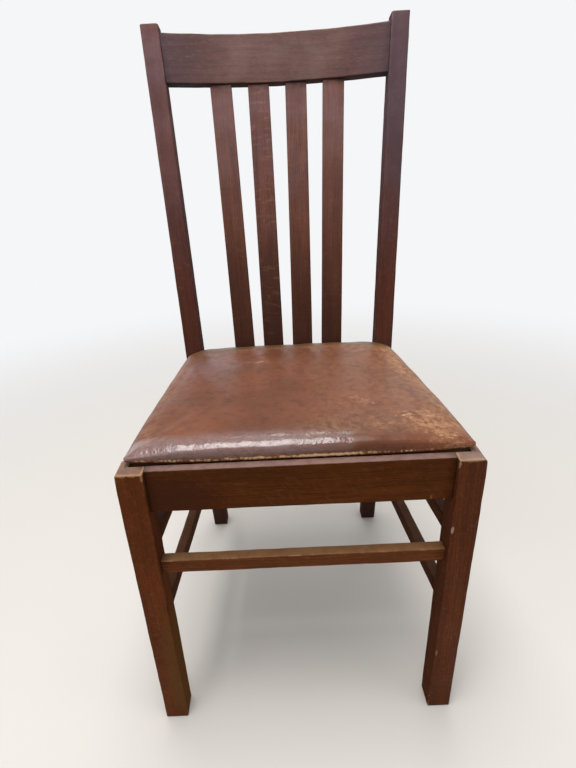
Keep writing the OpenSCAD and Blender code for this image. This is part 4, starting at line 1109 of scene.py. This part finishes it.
def makeLeather():
    look = leatherLook
    material, tree, shader = newMaterial("wornLeather", look["light"])
    where = objectPlace(tree)
    scuff, roll = attribute(tree, "scuff"), attribute(tree, "roll")
    mottle, rough = noise(where, 85, 4, 0.65), noise(where, 130, 5, 0.72)
    bent = vectorCalc("ADD", where, scaled(noise(where, 60, 2, 0.5, 1), (0.012, 0.012, 0.012)))

    def crack(scale):
        return derived("ShaderNodeTexVoronoi", {"Vector": bent, "Scale": scale}, "Distance",
                       feature="DISTANCE_TO_EDGE")

    def scratches(turn, scale, low, high):
        turned = derived("ShaderNodeMapping", {"Vector": where, "Rotation": (0, 0, turn), "Scale": scale})
        return between(noise(turned, 1, 2, 0.6), low, high)

    # Fine crazing in the old finish and wider creases; patches where the colour is gone, and short scratches
    craze = between(crack(170.0), 0.05, 0.0)
    crease = mul(between(crack(48.0), 0.03, 0.0), between(noise(where, 14, 2), 0.45, 0.62))
    patchy = between(add(mul(rough, 0.75), mul(scuff, 0.24)), 0.53, 0.7)
    patchy = mul(patchy, between(scuff, 0.03, 0.6, 0, 0.5))
    scratch = most(scratches(0.5, (70, 480, 60), 0.63, 0.7), scratches(-0.9, (60, 430, 60), 0.65, 0.72))
    scratch = mul(scratch, between(scuff, 0.05, 0.6, 0.05, 0.9))
    scratch = mul(scratch, mul(between(facing(tree)[2], 0.6, 0.9), between(noise(where, 38, 2), 0.42, 0.6)))
    side = mul(attribute(tree, "side"), between(rough, 0.42, 0.6, 0.1, 0.6))
    torn = add(attribute(tree, "lip"), between(noise(where, 240, 4, 0.7), 0.3, 0.7, -0.35, 0.25))
    lip = between(torn, 0.2, 0.75)
    tint = blended(between(noise(where, 11, 4, 0.6), 0.32, 0.68), look["deep"], look["light"])
    tint = layered(tint, [
        (between(mottle, 0.5, 0.72, 0, 0.6), look["dark"]),
        (mul(craze, between(scuff, 0.0, 0.7, 0.12, 0.5)), look["dark"]),
        (mul(crease, 0.3), look["dark"]), (between(scuff, 0, 1, 0, 0.12), look["pink"]),
        (patchy, look["tan"]), (scratch, look["scratch"]),
        # a lilac-grey painted sheen
        (mul(attribute(tree, "paintedSheen"), between(rough, 0.3, 0.7, 0.2, 0.6)), look["paintedSheen"]),
        # olive-grey painted shade along the back edge, then the worn sides and lower edge
        (mul(attribute(tree, "back"), 0.6), look["back"]), (side, look["tan"]), (lip, look["lipTan"]),
        # painted shade where the cover lies in the rebate
        (mul(attribute(tree, "shade"), 0.92), look["paintedShade"])])
    worn = most(most(patchy, scratch), most(lip, side))
    gloss = between(roll, 0.1, 0.6, look["gloss"], look["rollGloss"])
    gloss = add(add(gloss, between(mottle, 0.35, 0.7, -0.04, 0.08)), mul(between(scuff, 0, 1), 0.1))
    # Pebbled grain, crazing and shallow puckers, the puckers strongest along the roll
    pebbles = derived("ShaderNodeTexVoronoi", {"Vector": where, "Scale": 820.0}, "Distance")
    height = sub(mul(pebbles, 0.12), mul(craze, 0.25))
    height = sub(sub(height, mul(crease, 0.5)), mul(scratch, 0.3))
    small = noise(scaled(where, (330, 200, 260)), 1, 2)
    waves = add(noise(scaled(where, (75, 110, 90)), 1, 3, 0.55), mul(small, 0.35))
    waves = mul(waves, between(roll, 0, 1, 0.35, 1.9))
    soft = bumped(waves, 0.5, 0.0012, bumped(height, 0.4, 0.0004))
    feedNode(shader, {
        "Base Color": tint, "Roughness": add(gloss, mul(worn, 0.28), clamp=True), "Normal": soft,
        "Specular IOR Level": look["specular"], "Coat Roughness": look["rollGloss"], "Coat Normal": soft,
        "Coat Weight": mul(between(roll, 0.1, 0.7), sub(look["coat"], mul(worn, 0.4)))})
    return material


finishWith(makeLeather(), [leatherCover])


# Stuffing under the leather: the cover's own inner side, then down over the seat frame to the hessian

seatLayers = {"frameLow": 0.4388, "frameTop": 0.4548, "hessianTop": 0.4586,
              "frameInset": 0.0025, "softGap": 0.0003, "webSetback": 0.010, "lipHigh": 0.4500,
              "stuffingDepth": 0.0020, "stuffingFrom": 0.0072}


def makeStuffing():
    lay, gap = seatLayers, seatLayers["softGap"]
    grid = coverPoints[:-1].reshape(coverRings, coverColumns, 3)
    dx, dy = np.gradient(grid, axis=0), np.roll(grid, -1, axis=1) - np.roll(grid, 1, axis=1)
    normal = np.cross(dx, dy)
    normal /= np.maximum(np.linalg.norm(normal, axis=-1, keepdims=True), 1e-12)
    normal *= np.sign(normal[0, :, 2].sum())
    under = grid - normal * lay["stuffingDepth"]
    keep = np.flatnonzero(grid[:, :, 2].min(1) > seatHigh + lay["stuffingFrom"])[::2]
    outer, inner = lay["frameInset"] - gap, lay["frameInset"] + lay["webSetback"] - gap
    base = [(outer, lay["lipHigh"]), (outer, lay["frameTop"] + gap), (inner, lay["frameTop"] + gap),
            (inner, lay["hessianTop"] + gap)]
    base = toFrame(np.array([flatRing(inset, z) for inset, z in base]))
    rings = np.concatenate([under[keep], base])
    poles = [coverPoints[-1] - [0, 0, lay["stuffingDepth"]],
             [0, slipSeat["midY"] + frontShift, lay["hessianTop"] + gap]]
    points = np.concatenate([rings.reshape(-1, 3), poles])
    piece = makeObject("stuffingPad", points, ringFaces(*rings.shape[:2], (True, True)))
    standFor(piece, "stuffing", "slip_seat")
    material, tree, shader = newMaterial("cottonFelt", "cfc4ab")
    fibres = noise(scaled(objectPlace(tree), (260, 180, 260)), 1, 5, 0.75)
    feedNode(shader, {
        "Base Color": blended(fibres, "a8987a", "ded5bf"), "Normal": bumped(fibres, 0.8, 0.001),
        "Roughness": 0.95, "Specular IOR Level": 0.1})
    finishWith(material, [piece])


makeStuffing()
print("stuffing made")


# Webbing: straps with a rounded edge, carried along a line that steps over what they cross

webbing = {"wide": 0.050, "thick": 0.0015, "pitchX": 0.090, "pitchY": 0.078, "sideRound": 0.25,
           "faceRound": 0.7, "rise": (0.006, 0.0005)}


def strapStrip(path, wide, thick, across):
    # A flat oval section carried along a line of (run, height) points; across is the strap's middle on the
    # other axis. Returns run, across and height of every point, and the distance along the strap.
    angle = np.linspace(0, 2 * math.pi, 16, endpoint=False)
    c, s = np.cos(angle), np.sin(angle)
    section = np.stack([np.sign(c) * np.abs(c) ** webbing["sideRound"] * wide / 2,
                        np.sign(s) * np.abs(s) ** webbing["faceRound"] * thick / 2], -1)
    slope = np.gradient(path, axis=0)
    slope /= np.linalg.norm(slope, axis=1, keepdims=True)
    square = np.stack([-slope[:, 1], slope[:, 0]], -1)
    middle = path + square * thick / 2
    run = middle[:, None] + square[:, None] * section[None, :, 1, None]
    side = np.broadcast_to(across + section[None, :, 0], run.shape[:2])
    far = np.concatenate([[0], np.cumsum(np.linalg.norm(np.diff(path, axis=0), axis=1))])
    return run[..., 0], side, run[..., 1], np.broadcast_to(far[:, None], run.shape[:2])


def makeWebbing(name, node, strips, alongX):
    points, weave, faces = [], [], []
    for run, side, high, far in strips:
        xyz = np.stack([run, side, high] if alongX else [side, run, high], -1).reshape(-1, 3)
        base = sum(len(p) for p in points)
        faces += [[v + base for v in f] for f in facesOf(*run.shape, alongX)]
        points.append(xyz)
        weave.append(np.stack([far, side, high], -1).reshape(-1, 3))
    piece = makeObject(name, toFrame(np.concatenate(points)), faces, vectors={"grain": np.concatenate(weave)})
    standFor(piece, node, "slip_seat")
    return piece


def lengthStrips():
    y0 = chair["wellFront"] + seatLayers["frameInset"] + seatLayers["webSetback"]
    y1 = seatDeep - seatLayers["frameInset"] - seatLayers["webSetback"]
    path = np.stack([np.linspace(y0, y1, 60), np.full(60, seatLayers["frameTop"])], -1)
    return [strapStrip(path, webbing["wide"], webbing["thick"], i * webbing["pitchX"]) for i in (-1, 0, 1)]


def crossStrips():
    strips = []
    for i in (-1, 0, 1):
        y = slipSeat["midY"] + i * webbing["pitchY"]
        end = wellX(y + webbing["wide"] / 2) - seatLayers["frameInset"] * slant - seatLayers["webSetback"]
        x = np.linspace(-end, end, 120)
        lap = webbing["pitchX"] + webbing["wide"] / 2 + webbing["thick"]
        before, after = webbing["rise"]
        step = webbing["thick"] * ramp(-np.abs(x), -lap - before, -lap + after)
        high = seatLayers["frameTop"] + step
        strips.append(strapStrip(np.stack([x, high], -1), webbing["wide"], webbing["thick"], y))
    return strips


def makeWeave(name, colours, pitch, coordName=None):
    # Plain weave: threads both ways, each a round bump, over and under by turns
    material, tree, shader = newMaterial(name, colours[1])
    coord = attribute(tree, coordName, "Vector") if coordName else objectPlace(tree)
    coord = vectorCalc("ADD", coord, scaled(noise(coord, 25, 2, 0.5, 1), (pitch, pitch, 0)))
    u, v, _ = split(coord)
    u, v = (calc("SINE", mul(along, math.pi / pitch)) for along in (u, v))
    over = add(mul(mul(u, v), 0.5), 0.5)
    threads = most(calc("ABSOLUTE", u), calc("ABSOLUTE", v))
    tint = blended(noise(coord, 160, 3, 0.7), colours[0], colours[1])
    feedNode(shader, {
        "Base Color": blended(between(threads, 0.75, 0.3, 0, 0.7), tint, colours[2]),
        "Normal": bumped(add(mul(over, 0.4), threads), 0.7, 0.0003), "Roughness": 0.92,
        "Specular IOR Level": 0.12})
    return material


lengthWebbing = makeWebbing("lengthWebbing", "webbing_lengthwise", lengthStrips(), False)
crossWebbing = makeWebbing("crossWebbing", "webbing_crosswise", crossStrips(), True)
finishWith(makeWeave("juteWeave", ("8a6a42", "b39366", "4a3520"), 0.0011, "grain"),
           [lengthWebbing, crossWebbing])


# Hessian over the webbing and the cambric dust cover underneath: sheets with a little slack between tacks

# flat is each one's cut size, the trapezium's greatest width and depth, and area what it covers
clothSheets = {"thick": 0.0008, "dustSag": 0.0018,
               "hessian": {"inset": 0.0125, "flat": (0.382, 0.319), "area": 0.1116},
               "dust": {"inset": 0.0292, "flat": (0.349, 0.286), "area": 0.0905}}


def makeSheet(name, node, sizes, low, bend, material):
    shares = np.concatenate([[1, 0.985], np.linspace(0.96, 0.04, 22)])
    outline = seatOutline(sizes["inset"], 4, 30, 34)
    xy = np.stack([outline[None, :, 0] * shares[:, None],
                   slipSeat["midY"] + (outline[None, :, 1] - slipSeat["midY"]) * shares[:, None]], -1)
    z = low + bend(xy[..., 0], xy[..., 1], shares[:, None])
    rings = np.concatenate([xy, z[..., None]], -1)[::-1]
    middle = np.array([[0, slipSeat["midY"], low + float(bend(0.0, slipSeat["midY"], 0.0))]])
    points = toFrame(np.concatenate([rings.reshape(-1, 3), middle]))
    piece = makeObject(name, points, ringFaces(*rings.shape[:2]))
    thicken(piece, clothSheets["thick"])
    standFor(piece, node, "slip_seat")
    finishWith(material, [piece])


def hessianBend(x, y, share):
    return 0.00008 * np.sin(x * 140) * np.sin(y * 120)


def dustBend(x, y, share):
    # Hangs a little in the middle, and puckers towards its tacks
    pucker = 0.0003 * np.sin(np.arctan2(y - slipSeat["midY"], x) * 22) * ramp(share, 0.5, 0.95)
    return pucker - clothSheets["dustSag"] * (1 - ramp(share, 0.0, 0.85))


makeSheet(
    "hessianSheet", "hessian", clothSheets["hessian"], seatLayers["hessianTop"], hessianBend,
    makeWeave("hessianWeave", ("9c7f55", "c0a47a", "5c4429"), 0.0009))


# Tacks: domed heads on pointed shanks, as one turned profile at each place

tack = {"headRadius": 0.0045, "shankRadius": 0.0008, "top": 0.4373, "drop": 0.0010, "shank": 0.011,
        "inset": 0.0276, "sides": 12, "block": 0.060, "blockLap": 0.004, "clear": 0.009}


def tackPlaces():
    # Six tacks at the front and rear and five at each side, all clear of the corner blocks
    taken = tack["block"] + tack["clear"]
    frontY, rearY = chair["legDeep"] - tack["blockLap"], seatDeep + seatRail["rearSetback"]
    frontX, rearX = (sideX(y) - seatRail["thick"] - taken for y in (frontY, rearY))
    across = np.array([-1, -0.6, -0.2, 0.2, 0.6, 1])
    front = np.stack([across * frontX, np.full(6, chair["wellFront"] + tack["inset"])], -1)
    rear = np.stack([across * rearX, np.full(6, seatDeep - tack["inset"])], -1)
    y = np.linspace(frontY + taken, rearY - taken, 5)
    side = np.stack([wellX(y) - tack["inset"] * slant, y], -1)
    return np.concatenate([front, rear, side, side * [-1, 1]])


def makeTacks():
    r, s, top = tack["headRadius"], tack["shankRadius"], tack["top"]
    profile = np.array([[0.25 * r, top - tack["drop"]], [0.6 * r, top - 0.88 * tack["drop"]],
                        [0.88 * r, top - 0.5 * tack["drop"]], [r, top - 0.15 * tack["drop"]], [0.96 * r, top],
                        [s, top], [s, top + 0.75 * tack["shank"]], [0.15 * s, top + tack["shank"]]])
    sides = tack["sides"]
    angle = np.arange(sides) * 2 * math.pi / sides
    ring = np.stack([profile[:, :1] * np.cos(angle), profile[:, :1] * np.sin(angle),
                     np.broadcast_to(profile[:, 1:], (len(profile), sides))], -1)
    places = tackPlaces()
    points = np.concatenate([ring.reshape(-1, 3) + [x, y, 0] for x, y in places])
    one = facesOf(len(profile), sides, False)
    size = ring.shape[0] * ring.shape[1]
    faces = [[v + k * size for v in f] for k in range(len(places)) for f in one]
    piece = makeObject("seatTackHeads", toFrame(points), faces)
    piece.data.set_sharp_from_angle(angle=math.radians(40))
    standFor(piece, "seat_tacks", "slip_seat")
    return piece


def makeSteel(name, pale, dull, rust, rough):
    material, tree, shader = newMaterial(name, pale)
    blotch = noise(objectPlace(tree), 420, 4, 0.65)
    rusty = between(noise(objectPlace(tree), 210, 3, 0.6), 0.5, 0.68, 0, 0.7)
    feedNode(shader, {
        "Base Color": blended(rusty, blended(between(blotch, 0.35, 0.65), pale, dull), rust),
        "Metallic": between(rusty, 0, 0.7, 0.85, 0.1), "Normal": bumped(blotch, 0.3, 0.0002),
        "Roughness": between(blotch, 0.3, 0.7, rough, rough + 0.25)})
    return material


seatTackHeads = makeTacks()
finishWith(makeSteel("tackSteel", "6f7378", "3c3f43", "5a3320", 0.35), [seatTackHeads])
makeSheet(
    "dustSheet", "dust_cover", clothSheets["dust"], seatLayers["frameLow"], dustBend,
    makeWeave("cambricWeave", ("1b1a1c", "2b2a2d", "0c0c0d"), 0.0006))


# Unstained wood underneath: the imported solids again, with their sharp corners eased

def easedCopy(node, name, body, axis, seed, ease=0.0009):
    # The solid's loose triangles are merged first, and its flat faces joined, so that only corners are eased
    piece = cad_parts[node].copy()
    piece.data = piece.data.copy()
    piece.name = piece.data.name = name
    for key in list(piece.keys()):
        del piece[key]
    bpy.context.scene.collection.objects.link(piece)
    piece.parent = None
    piece.matrix_world = Matrix.Identity(4)
    piece.hide_render = piece.hide_viewport = False
    work = bmesh.new()
    work.from_mesh(piece.data)
    bmesh.ops.remove_doubles(work, verts=work.verts, dist=1e-6)
    bmesh.ops.dissolve_limit(work, angle_limit=math.radians(1), verts=work.verts, edges=work.edges)
    bmesh.ops.recalc_face_normals(work, faces=work.faces)
    work.to_mesh(piece.data)
    work.free()
    points = meshPoints(piece.data)
    order = [axis, (axis + 1) % 3, (axis + 2) % 3]
    layer = piece.data.attributes.new("grain", "FLOAT_VECTOR", "POINT")
    layer.data.foreach_set("vector", (points[:, order] + grainOffset(seed)).astype(np.float32).ravel())
    piece.data.shade_smooth()
    eased = piece.modifiers.new("easedCorners", "BEVEL")
    eased.width, eased.segments, eased.limit_method = ease, 2, "ANGLE"
    eased.angle_limit = math.radians(40)
    eased.use_clamp_overlap = True
    shadeEvenly(piece, 30)
    standFor(piece, node, body)
    return piece


def makeRawWood(name, dark, light, stain):
    material, tree, shader = newMaterial(name, light)
    figure = useGroup(tree, oakFigure, Coord=attribute(tree, "grain", "Vector"), Lean=0.7)
    age = noise(objectPlace(tree), 18, 4, 0.65)
    tint = blended(mul(figure["Pore"], 0.25), blended(figure["Streak"], dark, light), stain)
    height = sub(mul(figure["Streak"], 0.4), figure["Pore"])
    feedNode(shader, {
        "Base Color": blended(between(age, 0.45, 0.72, 0, 0.6), tint, stain), "Specular IOR Level": 0.2,
        "Roughness": between(age, 0.3, 0.7, 0.62, 0.8), "Normal": bumped(height, 0.3, 0.0004)})
    return material


blocks = [easedCopy(f"corner_block_{row}_{side}", f"cornerBlock{row.title()}{side.title()}", "frame", 0,
                    70 + i)
          for i, (row, side) in enumerate((r, s) for r in ("front", "rear") for s in ("left", "right"))]
seatFrame = [easedCopy("seat_frame_" + part, "seatFrame" + part.title(), "slip_seat", axis, 80 + i)
             for i, (part, axis) in enumerate((("front", 0), ("back", 0), ("left", 1), ("right", 1)))]
finishWith(makeRawWood("blockWood", "94744e", "b8966a", "5e4328"), blocks)
finishWith(makeRawWood("seatFrameWood", "a88a60", "c9ad82", "7a5c3a"), seatFrame)
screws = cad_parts["corner_block_screws"]
screws.material_slots[0].material = makeSteel("screwSteel", "8a8d90", "55585c", "6b3d22", 0.4)
print("seat frame, blocks, cloth and tacks made")


# Floor and light: the floor fades to the backdrop's own white far from the chair, where cameras and
# reflections see it, so that no horizon shows

studio = {"floor": "dcd7d0", "floorReach": 30.0, "floorLow": -0.0004, "back": (0.965, 0.97, 0.985, 1),
          "backLevel": 0.95, "world": 0.5, "fadeFrom": 0.42, "fadeTo": 2.2}


def seenDirectly(tree):
    path = put(tree, "ShaderNodeLightPath").outputs
    return most(most(path["Is Camera Ray"], path["Is Glossy Ray"]), path["Is Transmission Ray"])


def makeStudio():
    r, low = studio["floorReach"], studio["floorLow"]
    corners = np.array([[-r, -r, low], [r, -r, low], [r, r, low], [-r, r, low]])
    floor = makeObject("floor", corners, [[0, 1, 2, 3]], smooth=False)
    material, tree, shader = newMaterial("paleFloor", studio["floor"])
    feedNode(shader, {"Base Color": rgb(studio["floor"]), "Roughness": 0.9, "Specular IOR Level": 0.1})
    far = vectorCalc("LENGTH", objectPlace(tree), out="Value")
    fade = mul(between(far, studio["fadeFrom"], studio["fadeTo"]), seenDirectly(tree))
    glow = put(tree, "ShaderNodeEmission", {"Color": studio["back"], "Strength": studio["backLevel"]})
    mixed = put(tree, "ShaderNodeMixShader", {0: fade, 1: shader.outputs[0], 2: glow.outputs[0]})
    surface = next(node for node in tree.nodes if node.type == "OUTPUT_MATERIAL")
    feedNode(surface, {"Surface": mixed.outputs[0]})
    floor.data.materials.append(material)
    world = bpy.data.worlds.new("studio")
    bpy.context.scene.world = world
    world.use_nodes = True
    tree = world.node_tree
    tree.nodes.clear()
    strength = between(seenDirectly(tree), 0, 1, studio["world"], studio["backLevel"])
    back = put(tree, "ShaderNodeBackground", {"Color": studio["back"], "Strength": strength})
    put(tree, "ShaderNodeOutputWorld", {0: back.outputs[0]})


lamps = {
    "ceilingPanel": {"at": (-0.21, -0.34, 2.3), "aim": (-0.21, -0.34, 0), "size": (0.98, 1.62), "watts": 40},
    "key": {"at": (-1.5, -1.7, 2.3), "aim": (0, 0, 0.5), "size": (1.4, 1.4), "watts": 8},
    "fill": {"at": (1.9, -1.0, 1.7), "aim": (0, 0, 0.4), "size": (1.5, 1.5), "watts": 5},
    "back": {"at": (0.4, 1.8, 2.2), "aim": (0, 0, 0.6), "size": (1.6, 1.2), "watts": 10}}


def makeLamps():
    for name, lamp in lamps.items():
        data = bpy.data.lights.new(name, "AREA")
        data.shape = "RECTANGLE"
        data.size, data.size_y = lamp["size"]
        data.energy = lamp["watts"]
        holder = bpy.data.objects.new(name, data)
        bpy.context.scene.collection.objects.link(holder)
        at, aim = Vector(lamp["at"]), Vector(lamp["aim"])
        turn = (aim - at).to_track_quat("-Z", "Y").to_matrix().to_4x4()
        holder.matrix_world = Matrix.Translation(at) @ turn


makeStudio()
makeLamps()
bpy.context.scene.view_settings.view_transform = "Standard"

print("scene made")
